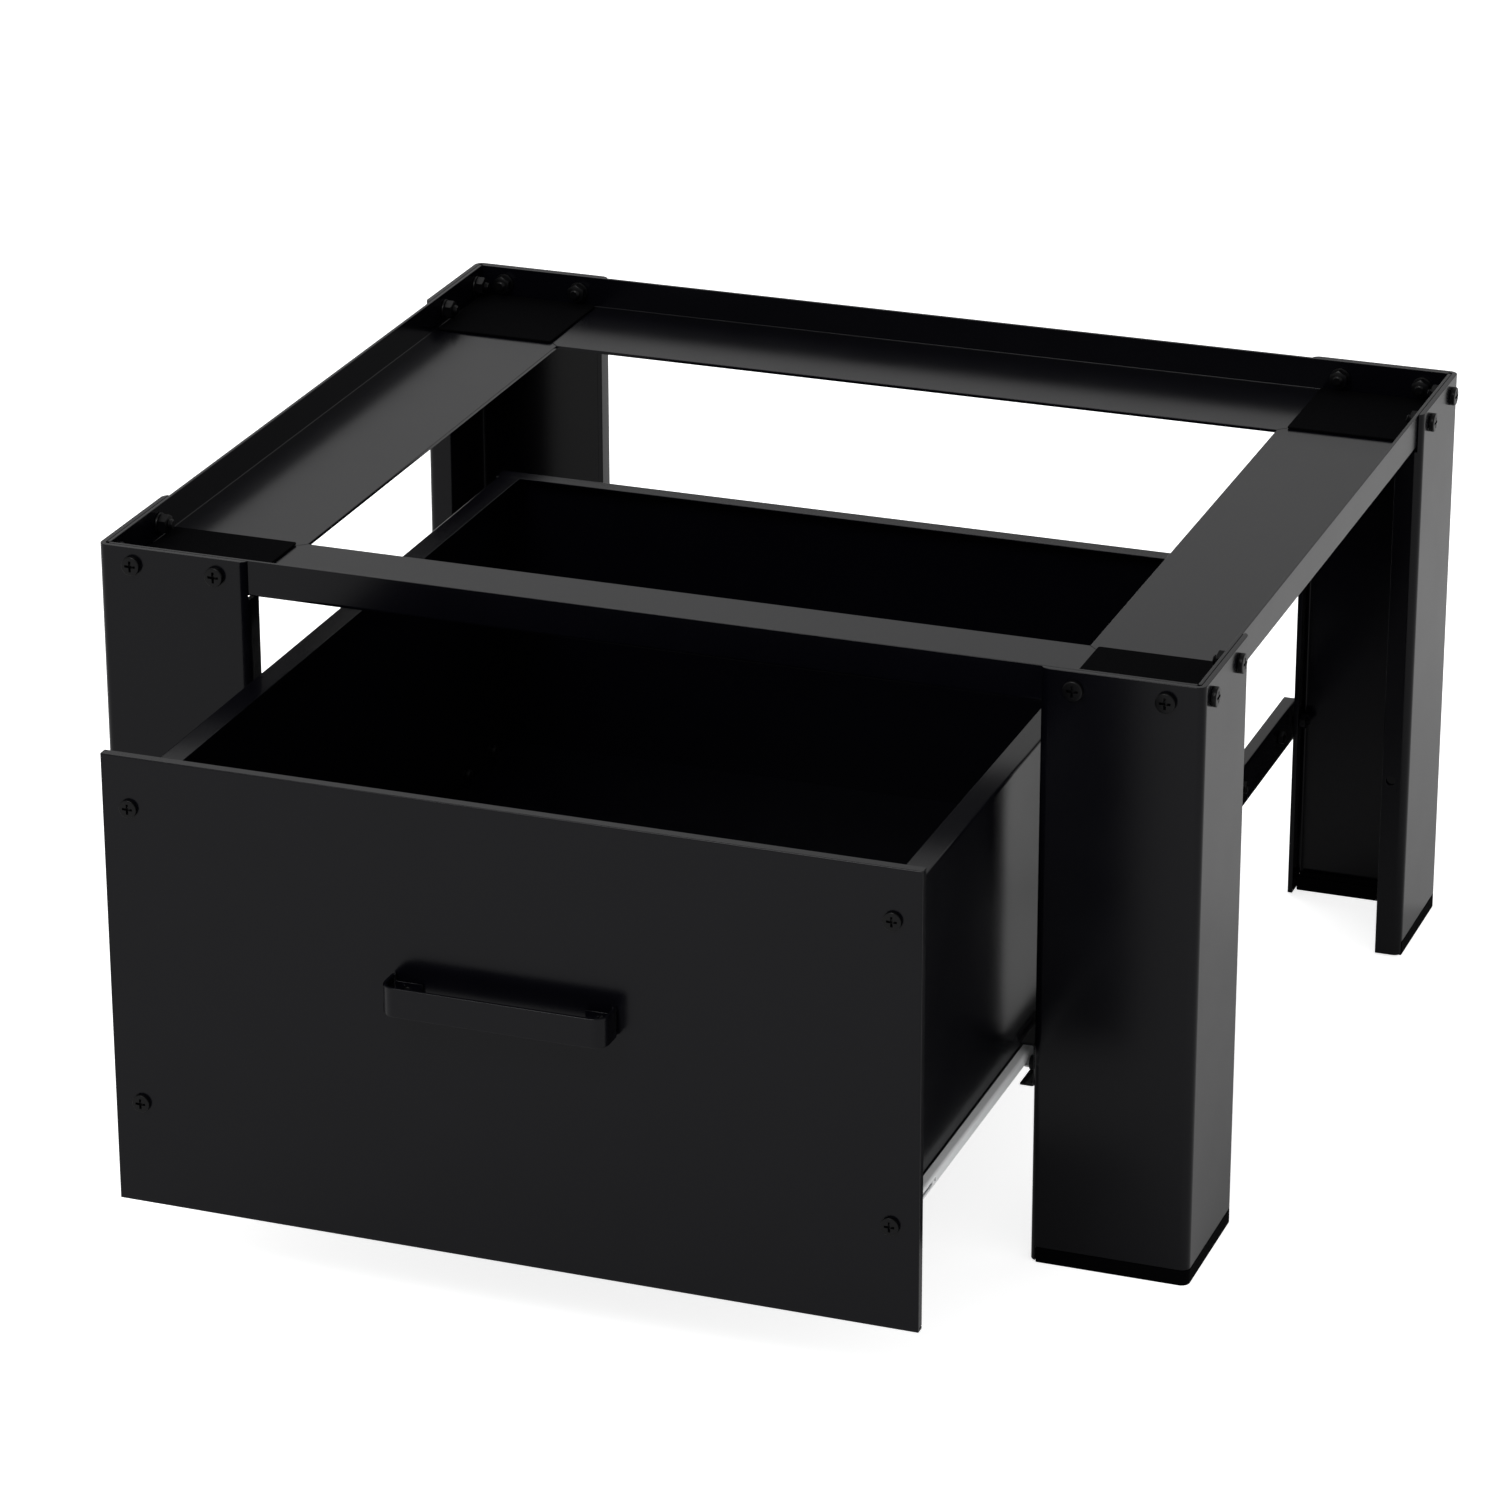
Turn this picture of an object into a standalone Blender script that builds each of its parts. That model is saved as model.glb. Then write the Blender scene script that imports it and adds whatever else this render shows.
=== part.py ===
"""Washing machine pedestal: a bolted sheet-steel frame with a pull-out drawer.

Metres, +Z up. X runs to the right, Y from the front to the back, and Z = 0 is
the floor. The drawer stands partly open, as it does in use. The frame's own
coordinates start at the front face of the legs. One empty carries the whole
model and moves its middle to the origin.
"""

import math

import bmesh
import bpy
from mathutils import Vector

# Gaps and cuts
TOUCH_GAP = 0.0003
BORE_GAP = 0.0003
MITRE_GAP = 0.0002
CUT_OVERRUN = 0.001

# Frame
FRAME_WIDTH = 0.630
FRAME_DEPTH = 0.540
FRAME_HEIGHT = 0.345

# Legs, bent from one sheet each
LEG_SHEET = 0.003
LEG_END_PLATE = 0.0892
LEG_SIDE_PLATE = 0.0852
LEG_RETURN = 0.0156
LEG_BEND_RADIUS = 0.002
LEG_RETURN_FLOOR_GAP = 0.001
RETURN_TO_RAIL_GAP = 0.002

# Foot strips under the legs
FOOT_HEIGHT = 0.009
FOOT_WIDTH = 0.008
FOOT_LIP_HEIGHT = 0.012
FOOT_LIP_THICKNESS = 0.003

# Rails, L-section sheet with the wide shelf turned inwards
RAIL_SHEET = 0.002
RAIL_HEIGHT = 0.0208
SIDE_RAIL_SHELF = 0.0842
END_RAIL_SHELF = 0.0818
RAIL_BEND_RADIUS = 0.0005

# Anti-slip pads on the shelf corners
PAD_LENGTH = 0.075
PAD_THICKNESS = 0.0012
PAD_RIM_GAP = 0.0013

# Frame bolts, each a cross-recess screw with its washer and nut
FRAME_BOLT_RADIUS = 0.003
FRAME_BOLT_TAIL = 0.0025
FRAME_HEAD_RADIUS = 0.0055
FRAME_HEAD_HEIGHT = 0.0028
FRAME_WASHER_RADIUS = 0.006
FRAME_WASHER_SHEET = 0.0012
FRAME_NUT_ACROSS = 0.010
FRAME_NUT_HEIGHT = 0.005
FRAME_BOLT_PITCH = 0.050
FRAME_BOLT_DROP = 0.010
END_BOLT_INSET = 0.0205
SIDE_BOLT_INSET = 0.016

# Slide supports, channels between the front and rear legs
SUPPORT_SHEET = 0.0012
SUPPORT_HEIGHT = 0.0252
SUPPORT_WIDTH = 0.0085
SUPPORT_BEND_RADIUS = 0.0008
SUPPORT_FLOOR = 0.1013
SUPPORT_TO_PANEL_GAP = 0.0006

# Support bolts with their nuts
SUPPORT_BOLT_RADIUS = 0.0025
SUPPORT_BOLT_TAIL = 0.0015
SUPPORT_HEAD_RADIUS = 0.0042
SUPPORT_HEAD_HEIGHT = 0.0024
SUPPORT_BOLT_EDGE = 0.004
SUPPORT_NUT_ACROSS = 0.008
SUPPORT_NUT_HEIGHT = 0.004

# Outer runners, lipped channels fixed inside the supports
OUTER_HEIGHT = 0.017
OUTER_DEPTH = 0.0078
OUTER_SHEET = 0.001
OUTER_LIP = 0.002
OUTER_START_GAP = 0.0004
OUTER_END_GAP = 0.0104
OUTER_STUD_RADIUS = 0.002
OUTER_STUD_HEAD_RADIUS = 0.0035
OUTER_STUD_HEAD_HEIGHT = 0.0008
OUTER_STUD_TAIL = 0.0008
OUTER_STUD_INSET = 0.105
OUTER_END_STUD_INSET = 0.022
OUTER_NUT_ACROSS = 0.007
OUTER_NUT_HEIGHT = 0.0032

# Rubber stops and the tabs behind them
STOP_TAB = 0.001
STOP_THICKNESS = 0.005
STOP_RUNNER_GAP = 0.001

# Balls and their cages
BALL_RADIUS = 0.0018
BALL_RUNNING_GAP = 0.0003
BALL_PITCH = 0.020
BALLS_IN_ROW = 6
BALL_LIP_DISTANCE = 0.0022
CAGE_SHEET = 0.0005
CAGE_WEB_GAP = 0.0012
CAGE_LENGTH = 0.1211

# Inner runners, fixed to the drawer
INNER_SHEET = 0.001
INNER_DEPTH = 0.0052
INNER_RIVET_RADIUS = 0.0015
INNER_RIVET_HEAD_RADIUS = 0.0034
INNER_RIVET_HEAD_HEIGHT = 0.0022
INNER_RIVET_TAIL = 0.0004
INNER_FRONT_RIVET_INSET = 0.054
INNER_REAR_RIVET_INSET = 0.011
INNER_REAR_RIVET_PITCH = 0.040
INNER_HOLE_RADIUS = 0.0014
INNER_HOLE_INSET = 0.0335
INNER_SLOT_LENGTH = 0.016
INNER_SLOT_WIDTH = 0.002
INNER_SLOT_CORNER = 0.0007
INNER_SLOT_INSET = 0.0215

# Drawer front panel, a shallow tray of sheet
PANEL_TO_LEG_GAP = 0.0008
PANEL_HEIGHT = 0.2569
PANEL_FLOOR = 0.0483
PANEL_THICKNESS = 0.0058
PANEL_SHEET = 0.0015
PANEL_EDGE_RADIUS = 0.0008

# Drawer box
BOX_SHEET = 0.001
BOX_TO_RUNNER_GAP = 0.0018
BOX_TOP = 0.2864
BOX_REAR_GAP = 0.0158
BOX_FLANGE = 0.0138
BOX_LOWER_FLANGE = 0.012
BOX_BEND_RADIUS = 0.0006
LOWER_FLANGE_SETBACK = 0.0067
BACK_FLANGE = 0.0112
BACK_OVERHANG = 0.001
FLOOR_LIP = 0.0134
FLOOR_TO_RIVET_GAP = 0.0006

# Panel bolts with their nuts
PANEL_BOLT_RADIUS = 0.002
PANEL_BOLT_TAIL = 0.0012
PANEL_HEAD_RADIUS = 0.005
PANEL_HEAD_HEIGHT = 0.002
PANEL_NUT_ACROSS = 0.007
PANEL_NUT_HEIGHT = 0.0032
PANEL_NUT_WALL_GAP = 0.0003
PANEL_NUT_FLOOR_GAP = 0.0003
PANEL_UPPER_BOLT_DROP = 0.0287

# Handle, a strap bent round a finger gap
HANDLE_WIDTH = 0.1246
HANDLE_HEIGHT = 0.0165
HANDLE_REACH = 0.0194
HANDLE_SHEET = 0.002
HANDLE_TAB = 0.017
HANDLE_FRONT_RADIUS = 0.006
HANDLE_BACK_RADIUS = 0.0005
HANDLE_RISE = 0.1415
HANDLE_SCREW_RADIUS = 0.002
HANDLE_SCREW_HEAD_RADIUS = 0.0038
HANDLE_SCREW_HEAD_HEIGHT = 0.0022

# How far the drawer stands open
DRAWER_OPEN = 0.1852

# Shares of the size that a detail follows
RECESS_SPAN_SHARE = 0.90
RECESS_WIDTH_SHARE = 0.20
RECESS_DEPTH_SHARE = 0.60
HEAD_TOP_SHARE = 0.55
HEAD_SHOULDER_SHARE = 0.88
HEAD_SHOULDER_HEIGHT_SHARE = 0.75
HEAD_WALL_SHARE = 0.35

# Facets
ROUND_STEPS = 10
HEAD_STEPS = 12
RIVET_STEPS = 8
BEND_STEPS = 3
CORNER_STEPS = 6
BALL_STEPS = 6
BALL_RINGS = 4
EDGE_STEPS = 2
SMOOTH_ANGLE = math.radians(35)

# Frame places that follow from the sizes above
RAIL_FACE = LEG_SHEET + TOUCH_GAP
RAIL_FLOOR = FRAME_HEIGHT - RAIL_HEIGHT
SHELF_TOP = RAIL_FLOOR + RAIL_SHEET
PAD_EDGE = RAIL_FACE + RAIL_SHEET + RAIL_BEND_RADIUS + PAD_RIM_GAP
FRAME_BOLT_LEVEL = FRAME_HEIGHT - FRAME_BOLT_DROP
LEG_PLATE_FLOOR = FOOT_HEIGHT + TOUCH_GAP
LEG_RETURN_TOP = RAIL_FLOOR - RETURN_TO_RAIL_GAP
LEG_OUTER_RADIUS = LEG_BEND_RADIUS + LEG_SHEET
LEG_INNER_FACE = FRAME_WIDTH / 2 - LEG_END_PLATE

# Slide places
SUPPORT_FACE = LEG_INNER_FACE - TOUCH_GAP
SUPPORT_WEB = SUPPORT_FACE - SUPPORT_SHEET
SUPPORT_START = PANEL_THICKNESS + SUPPORT_TO_PANEL_GAP
SUPPORT_LEVEL = SUPPORT_FLOOR + SUPPORT_HEIGHT / 2
SUPPORT_BOLT_PLACE = SUPPORT_START + SUPPORT_BOLT_EDGE
OUTER_FACE = SUPPORT_WEB - TOUCH_GAP
OUTER_WEB = OUTER_FACE - OUTER_SHEET
OUTER_MOUTH = OUTER_FACE - OUTER_DEPTH
OUTER_START = SUPPORT_BOLT_PLACE + SUPPORT_HEAD_RADIUS + OUTER_START_GAP
OUTER_END = FRAME_DEPTH - SUPPORT_BOLT_PLACE - SUPPORT_HEAD_RADIUS - OUTER_END_GAP
RUNNER_LENGTH = OUTER_END - OUTER_START
OUTER_ROOM = OUTER_HEIGHT / 2 - OUTER_SHEET
RUNNER_LEVEL = SUPPORT_FLOOR + SUPPORT_HEIGHT - SUPPORT_SHEET - TOUCH_GAP - OUTER_HEIGHT / 2
INNER_HALF_HEIGHT = OUTER_ROOM - 2 * (BALL_RADIUS + BALL_RUNNING_GAP)
BOX_HALF_WIDTH = OUTER_MOUTH - BOX_TO_RUNNER_GAP
INNER_BACK = BOX_HALF_WIDTH + TOUCH_GAP
INNER_FACE = INNER_BACK + INNER_DEPTH
INNER_WEB = INNER_FACE - INNER_SHEET
INNER_START = PANEL_THICKNESS + TOUCH_GAP
INNER_END = INNER_START + RUNNER_LENGTH
STOP_START = INNER_END + STOP_RUNNER_GAP
BALL_LEVEL = INNER_HALF_HEIGHT + BALL_RADIUS + BALL_RUNNING_GAP
BALL_PLACE = OUTER_MOUTH + OUTER_SHEET + BALL_LIP_DISTANCE
CAGE_MOUTH = OUTER_MOUTH + OUTER_SHEET + TOUCH_GAP
CAGE_FACE = OUTER_WEB - CAGE_WEB_GAP
CAGE_MIDDLE = (OUTER_START + INNER_END) / 2
CAGE_START = CAGE_MIDDLE - CAGE_LENGTH / 2
CAGE_END = CAGE_START + CAGE_LENGTH

# Drawer places, with the drawer shut
PANEL_HALF_WIDTH = LEG_INNER_FACE - PANEL_TO_LEG_GAP
PANEL_TOP = PANEL_FLOOR + PANEL_HEIGHT
BOX_START = PANEL_SHEET + TOUCH_GAP
BOX_FRONT_INSIDE = BOX_START + BOX_SHEET
BOX_WALL = BOX_HALF_WIDTH - BOX_SHEET
BOX_END = FRAME_DEPTH - BOX_REAR_GAP
BACK_WALL = BOX_END - BOX_SHEET
SIDE_END = BACK_WALL - TOUCH_GAP
FLOOR_TOP = RUNNER_LEVEL - INNER_RIVET_HEAD_RADIUS - FLOOR_TO_RIVET_GAP
FLOOR_UNDERSIDE = FLOOR_TOP - BOX_SHEET
BOX_BOTTOM = FLOOR_UNDERSIDE - TOUCH_GAP - BOX_SHEET
PANEL_BOLT_PLACE = BOX_WALL - PANEL_NUT_ACROSS / 2 - PANEL_NUT_WALL_GAP
PANEL_UPPER_BOLT = PANEL_TOP - PANEL_UPPER_BOLT_DROP
PANEL_LOWER_BOLT = FLOOR_UNDERSIDE - PANEL_NUT_ACROSS / math.sqrt(3) - PANEL_NUT_FLOOR_GAP
HANDLE_FLOOR = PANEL_FLOOR + HANDLE_RISE
HANDLE_LEVEL = HANDLE_FLOOR + HANDLE_HEIGHT / 2
HANDLE_SCREW_PLACE = HANDLE_WIDTH / 2 - HANDLE_TAB / 2

# The whole model's middle, handle to rear bolt heads
FRONT_REACH = DRAWER_OPEN + HANDLE_REACH
REAR_REACH = FRAME_DEPTH + TOUCH_GAP + FRAME_HEAD_HEIGHT
MODEL_MIDDLE = (REAR_REACH - FRONT_REACH) / 2

SIDES = {"left": -1.0, "right": 1.0}
ENDS = {"front": 1.0, "rear": -1.0}

# Base colour, roughness and metallic value of each finish
FINISHES = {
    "powder_coat": ((0.012, 0.012, 0.013), 0.38, 0.0),
    "black_bolt": ((0.010, 0.010, 0.011), 0.30, 0.6),
    "zinc_plate": ((0.62, 0.63, 0.64), 0.28, 1.0),
    "pad_rubber": ((0.008, 0.008, 0.009), 0.75, 0.0),
    "foot_plastic": ((0.009, 0.009, 0.010), 0.50, 0.0),
    "cage_steel": ((0.45, 0.46, 0.47), 0.35, 1.0),
}


def clear_scene():
    """Remove whatever the file holds already."""
    for thing in list(bpy.data.objects):
        bpy.data.objects.remove(thing, do_unlink=True)


def make_finishes():
    """Make one material for each finish."""
    for name, (colour, roughness, metallic) in FINISHES.items():
        material = bpy.data.materials.new(name)
        material.use_nodes = True
        shader = material.node_tree.nodes["Principled BSDF"]
        shader.inputs["Base Color"].default_value = (*colour, 1.0)
        shader.inputs["Roughness"].default_value = roughness
        shader.inputs["Metallic"].default_value = metallic
        material.diffuse_color = (*colour, 1.0)


def empty(name, parent, location):
    """Make a carrier that pieces are parented to."""
    carrier = bpy.data.objects.new(name, None)
    carrier.parent = parent
    carrier.location = location
    bpy.context.scene.collection.objects.link(carrier)
    return carrier


def put(name, mesh, carrier, location=(0, 0, 0), outward=None):
    """Place a mesh as a named object, its own Z turned outward where that is given."""
    body = bpy.data.objects.new(name, mesh)
    body.parent = carrier
    body.location = location
    if outward:
        body.rotation_euler = Vector(outward).to_track_quat("Z", "Y").to_euler()
    bpy.context.scene.collection.objects.link(body)
    return body


def piece(name, bm, carrier, location=(0, 0, 0), finish="powder_coat"):
    """Turn a bmesh into a smooth-shaded object with sharp bends."""
    bmesh.ops.recalc_face_normals(bm, faces=bm.faces[:])
    mesh = bpy.data.meshes.new(name)
    bm.to_mesh(mesh)
    bm.free()
    mesh.shade_smooth()
    mesh.set_sharp_from_angle(angle=SMOOTH_ANGLE)
    mesh.materials.append(bpy.data.materials[finish])
    return put(name, mesh, carrier, location)


def reshape(body, bm, operation):
    """Cut a helper solid from a piece, or join it on."""
    change = body.modifiers.new(operation.title(), "BOOLEAN")
    change.operation = operation
    change.solver = "EXACT"
    change.object = piece(f"{body.name}_helper_{len(body.modifiers)}", bm, body)
    change.object.hide_render = True
    change.object.display_type = "WIRE"


def fixed_mesh(body):
    """Remove a piece but keep the mesh that its modifiers made."""
    graph = bpy.context.evaluated_depsgraph_get()
    mesh = bpy.data.meshes.new_from_object(body.evaluated_get(graph))
    for thing in (*body.children, body):
        bpy.data.objects.remove(thing, do_unlink=True)
    return mesh


def facing(axis, origin=(0, 0, 0), sign=1.0, mirror=1.0):
    """Placement of (a, b, height) points whose height runs along an axis.

    The other two axes take a and b in X, Y, Z order. mirror turns a round.
    """
    along = "XYZ".index(axis)
    first, second = [index for index in range(3) if index != along]

    def place(a, b, height):
        point = Vector(origin)
        point[first] += mirror * a
        point[second] += b
        point[along] += sign * height
        return point

    return place


def from_corner(side, end):
    """Placement of plan points measured inwards from a leg's outer corner."""
    def place(inward, along, height):
        return Vector((-SIDES[side] * inward, ENDS[end] * along, height))

    return place


def corner_of(side, end):
    """Where a leg's outer corner stands."""
    depth = 0 if end == "front" else FRAME_DEPTH
    return Vector((SIDES[side] * FRAME_WIDTH / 2, depth, 0))


def section(side):
    """Placement of (outward, up) section points whose height runs along Y."""
    return facing("Y", mirror=SIDES[side])


def rounded(points, steps=BEND_STEPS):
    """Closed outline from (a, b, radius) corners, with an arc wherever a radius is given."""
    outline = []
    for index, (a, b, radius) in enumerate(points):
        here = Vector((a, b))
        if radius <= 0:
            outline.append(here)
            continue
        before = (Vector(points[index - 1][:2]) - here).normalized()
        after = (Vector(points[(index + 1) % len(points)][:2]) - here).normalized()
        half = before.angle(after) / 2
        middle = here + (before + after).normalized() * radius / math.sin(half)
        start = here + before * radius / math.tan(half) - middle
        sweep = start.angle_signed(here + after * radius / math.tan(half) - middle)
        for step in range(steps + 1):
            turn = -sweep * step / steps
            cosine, sine = math.cos(turn), math.sin(turn)
            spoke = (start.x * cosine - start.y * sine, start.x * sine + start.y * cosine)
            outline.append(middle + Vector(spoke))
    return outline


def rectangle(low_a, low_b, high_a, high_b):
    """Outline of a plain rectangle."""
    return [Vector(pair) for pair in (
        (low_a, low_b), (high_a, low_b), (high_a, high_b), (low_a, high_b))]


def circle(radius, steps):
    """Points round a circle about the origin."""
    angles = [2 * math.pi * step / steps for step in range(steps)]
    return [Vector((radius * math.cos(angle), radius * math.sin(angle))) for angle in angles]


def add_prism(bm, outline, low, high, place):
    """Add a straight solid whose ends are heights, or functions that give them."""
    def loop_at(height):
        levels = [height(*point) if callable(height) else height for point in outline]
        return [bm.verts.new(place(*point, level)) for point, level in zip(outline, levels)]

    lower, upper = loop_at(low), loop_at(high)
    bm.faces.new(lower)
    bm.faces.new(list(reversed(upper)))
    for index in range(len(outline)):
        after = (index + 1) % len(outline)
        bm.faces.new((lower[index], upper[index], upper[after], lower[after]))


def add_drill(bm, radius, sheet, place):
    """Add the round cutter of a hole through a sheet that starts at height 0."""
    outline = circle(radius, ROUND_STEPS)
    add_prism(bm, outline, -CUT_OVERRUN, sheet + CUT_OVERRUN, place)


def add_turned(bm, profile, place, steps):
    """Add a solid of revolution from (radius, height) pairs, both ends on the axis."""
    ends = [bm.verts.new(place(0, 0, profile[index][1])) for index in (0, -1)]
    rings = [
        [bm.verts.new(place(*point, height)) for point in circle(radius, steps)]
        for radius, height in profile[1:-1]
    ]
    for index in range(steps):
        after = (index + 1) % steps
        bm.faces.new((ends[0], rings[0][index], rings[0][after]))
        bm.faces.new((ends[1], rings[-1][after], rings[-1][index]))
        for first, second in zip(rings, rings[1:]):
            bm.faces.new((first[index], second[index], second[after], first[after]))


def add_hexagon(bm, across, low, high, place):
    """Add a hexagonal solid with flats at both ends of its first axis."""
    outline = [point * across / math.sqrt(3) for point in (
        Vector((math.sin(step * math.pi / 3), math.cos(step * math.pi / 3))) for step in range(6))]
    add_prism(bm, outline, low, high, place)


def head_profile(radius, height):
    """Half-outline of a pan head that stands on height 0, from its top down."""
    return [
        (0, height),
        (radius * HEAD_TOP_SHARE, height),
        (radius * HEAD_SHOULDER_SHARE, height * HEAD_SHOULDER_HEIGHT_SHARE),
        (radius, height * HEAD_WALL_SHARE),
        (radius, 0),
    ]


def shank_profile(radius, start, end):
    """Half-outline of a shank from start down to end, closed on the axis."""
    return [(radius, start), (radius, end), (0, end)]


def cut_recess(body, radius, height):
    """Cut a cross-shaped driver recess into a head."""
    arm = radius * RECESS_SPAN_SHARE / 2
    width = radius * RECESS_WIDTH_SHARE / 2
    quarter = [Vector(pair) for pair in ((arm, -width), (arm, width), (width, width))]
    outline = []
    for _ in range(4):
        outline += quarter
        quarter = [Vector((-point.y, point.x)) for point in quarter]
    cutter = bmesh.new()
    floor = height - height * RECESS_DEPTH_SHARE
    add_prism(cutter, outline, floor, height + CUT_OVERRUN, facing("Z"))
    reshape(body, cutter, "DIFFERENCE")


def make_bolt_mesh(head, radius, grip, nut, tail, washer=(0, 0), recess=False):
    """Make a bolt with its nut: the head's seat at height 0, the shank down along -Z.

    head and washer are (radius, height), nut is (width across flats, height).
    """
    nut_top = -grip - washer[1]
    nut_floor = nut_top - nut[1]
    profile = head_profile(*head)
    if washer[1]:
        profile += [(radius, 0), (radius, -grip), (washer[0], -grip), (washer[0], nut_top)]
        profile += shank_profile(radius, nut_top, nut_floor - tail)
    else:
        profile += shank_profile(radius, 0, nut_floor - tail)
    bm = bmesh.new()
    add_turned(bm, profile, facing("Z"), HEAD_STEPS)
    body = piece("bolt", bm, None, finish="black_bolt")
    joined = bmesh.new()
    add_hexagon(joined, nut[0], nut_floor, nut_top + washer[1] / 2, facing("Z"))
    reshape(body, joined, "UNION")
    if recess:
        cut_recess(body, *head)
    return fixed_mesh(body)


def frame_bolt_places(side, end):
    """(place, outward direction) of a leg's four bolts, from its outer corner."""
    across, back = -SIDES[side], ENDS[end]
    ends = [END_BOLT_INSET + step * FRAME_BOLT_PITCH for step in range(2)]
    sides = [SIDE_BOLT_INSET + step * FRAME_BOLT_PITCH for step in range(2)]
    return (
        [(Vector((across * inset, 0, FRAME_BOLT_LEVEL)), Vector((0, -back, 0))) for inset in ends]
        + [(Vector((0, back * inset, FRAME_BOLT_LEVEL)), Vector((-across, 0, 0))) for inset in sides])


def drill_along(bm, radius, sheet, start, direction):
    """Add a hole's cutter that starts at a sheet's near face and runs in a direction."""
    axis = "XYZ"[max(range(3), key=lambda index: abs(direction[index]))]
    sign = direction["XYZ".index(axis)]
    add_drill(bm, radius, sheet, facing(axis, start, sign))


def make_leg(side, end, carrier):
    """Bend a leg: end plate, side plate and a return flange on each."""
    place = from_corner(side, end)
    across, back = -SIDES[side], ENDS[end]
    outer, inner, sheet, lip = LEG_OUTER_RADIUS, LEG_BEND_RADIUS, LEG_SHEET, LEG_RETURN
    width, depth = LEG_END_PLATE, LEG_SIDE_PLATE
    outline = rounded((
        (width, lip, 0), (width, 0, outer), (0, 0, outer), (0, depth, outer), (lip, depth, 0),
        (lip, depth - sheet, 0), (sheet, depth - sheet, inner), (sheet, sheet, inner),
        (width - sheet, sheet, inner), (width - sheet, lip, 0)))
    bm = bmesh.new()
    add_prism(bm, outline, LEG_RETURN_FLOOR_GAP, FRAME_HEIGHT, place)
    leg = piece(f"leg_{end}_{side}", bm, carrier, corner_of(side, end))

    cuts = bmesh.new()
    over = CUT_OVERRUN
    foot_room = rectangle(-over, -over, width - sheet - TOUCH_GAP, depth - sheet - TOUCH_GAP)
    add_prism(cuts, foot_room, -over, LEG_PLATE_FLOOR, place)
    end_notch = rectangle(width - outer, sheet, width + over, lip + over)
    side_notch = rectangle(sheet, depth - outer, lip + over, depth + over)
    for notch in (end_notch, side_notch):
        add_prism(cuts, notch, LEG_RETURN_TOP, FRAME_HEIGHT + over, place)
    for start, outward in frame_bolt_places(side, end):
        drill_along(cuts, FRAME_BOLT_RADIUS + BORE_GAP, sheet, start, -outward)
    bore = SUPPORT_BOLT_RADIUS + BORE_GAP
    end_hole = place(width - sheet, SUPPORT_BOLT_PLACE, SUPPORT_LEVEL)
    drill_along(cuts, bore, sheet, end_hole, Vector((across, 0, 0)))
    side_hole = place(SUPPORT_BOLT_PLACE, depth - sheet, SUPPORT_LEVEL)
    drill_along(cuts, bore, sheet, side_hole, Vector((0, back, 0)))
    reshape(leg, cuts, "DIFFERENCE")


def make_foot(side, end, carrier):
    """Make the foot strip: a base under both plates and a lip behind them."""
    place = from_corner(side, end)
    across = LEG_END_PLATE - LEG_SHEET - 2 * TOUCH_GAP
    along = LEG_SIDE_PLATE - LEG_SHEET - 2 * TOUCH_GAP
    bm = bmesh.new()
    base = rounded((
        (across, 0, 0), (0, 0, LEG_OUTER_RADIUS), (0, along, 0),
        (FOOT_WIDTH, along, 0), (FOOT_WIDTH, FOOT_WIDTH, 0), (across, FOOT_WIDTH, 0)))
    add_prism(bm, base, 0, FOOT_HEIGHT, place)
    foot = piece(f"foot_{end}_{side}", bm, carrier, corner_of(side, end), "foot_plastic")

    lip = bmesh.new()
    front = LEG_SHEET + TOUCH_GAP
    back = front + FOOT_LIP_THICKNESS
    far_across = across - LEG_BEND_RADIUS - TOUCH_GAP
    far_along = along - LEG_BEND_RADIUS - TOUCH_GAP
    outline = rounded((
        (far_across, front, 0), (front, front, LEG_BEND_RADIUS), (front, far_along, 0),
        (back, far_along, 0), (back, back, 0), (far_across, back, 0)))
    add_prism(lip, outline, FOOT_HEIGHT / 2, FOOT_HEIGHT + FOOT_LIP_HEIGHT, place)
    reshape(foot, lip, "UNION")


def rail_outline(shelf):
    """L-section of a rail: the rim up at the outside, the shelf inwards at its foot."""
    inside = RAIL_FACE + RAIL_SHEET
    return rounded((
        (RAIL_FACE, FRAME_HEIGHT, 0), (RAIL_FACE, RAIL_FLOOR, RAIL_BEND_RADIUS + RAIL_SHEET),
        (RAIL_FACE + shelf, RAIL_FLOOR, 0), (RAIL_FACE + shelf, SHELF_TOP, 0),
        (inside, SHELF_TOP, RAIL_BEND_RADIUS), (inside, FRAME_HEIGHT, 0)))


def cut_rail(rail, bolts, corners):
    """Cut a rail's bolt holes and trim its rim clear of the legs' bends."""
    cuts = bmesh.new()
    for start, outward in bolts:
        face = start - outward * RAIL_FACE
        drill_along(cuts, FRAME_BOLT_RADIUS + BORE_GAP, RAIL_SHEET, face, -outward)
    reach = LEG_OUTER_RADIUS + TOUCH_GAP
    low, high = RAIL_FLOOR - CUT_OVERRUN, FRAME_HEIGHT + CUT_OVERRUN
    for origin, place in corners:
        def moved(inward, along, height, origin=origin, place=place):
            return origin + place(inward, along, height)

        add_prism(cuts, rectangle(0, 0, reach, reach), low, high, moved)
    reshape(rail, cuts, "DIFFERENCE")


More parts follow.
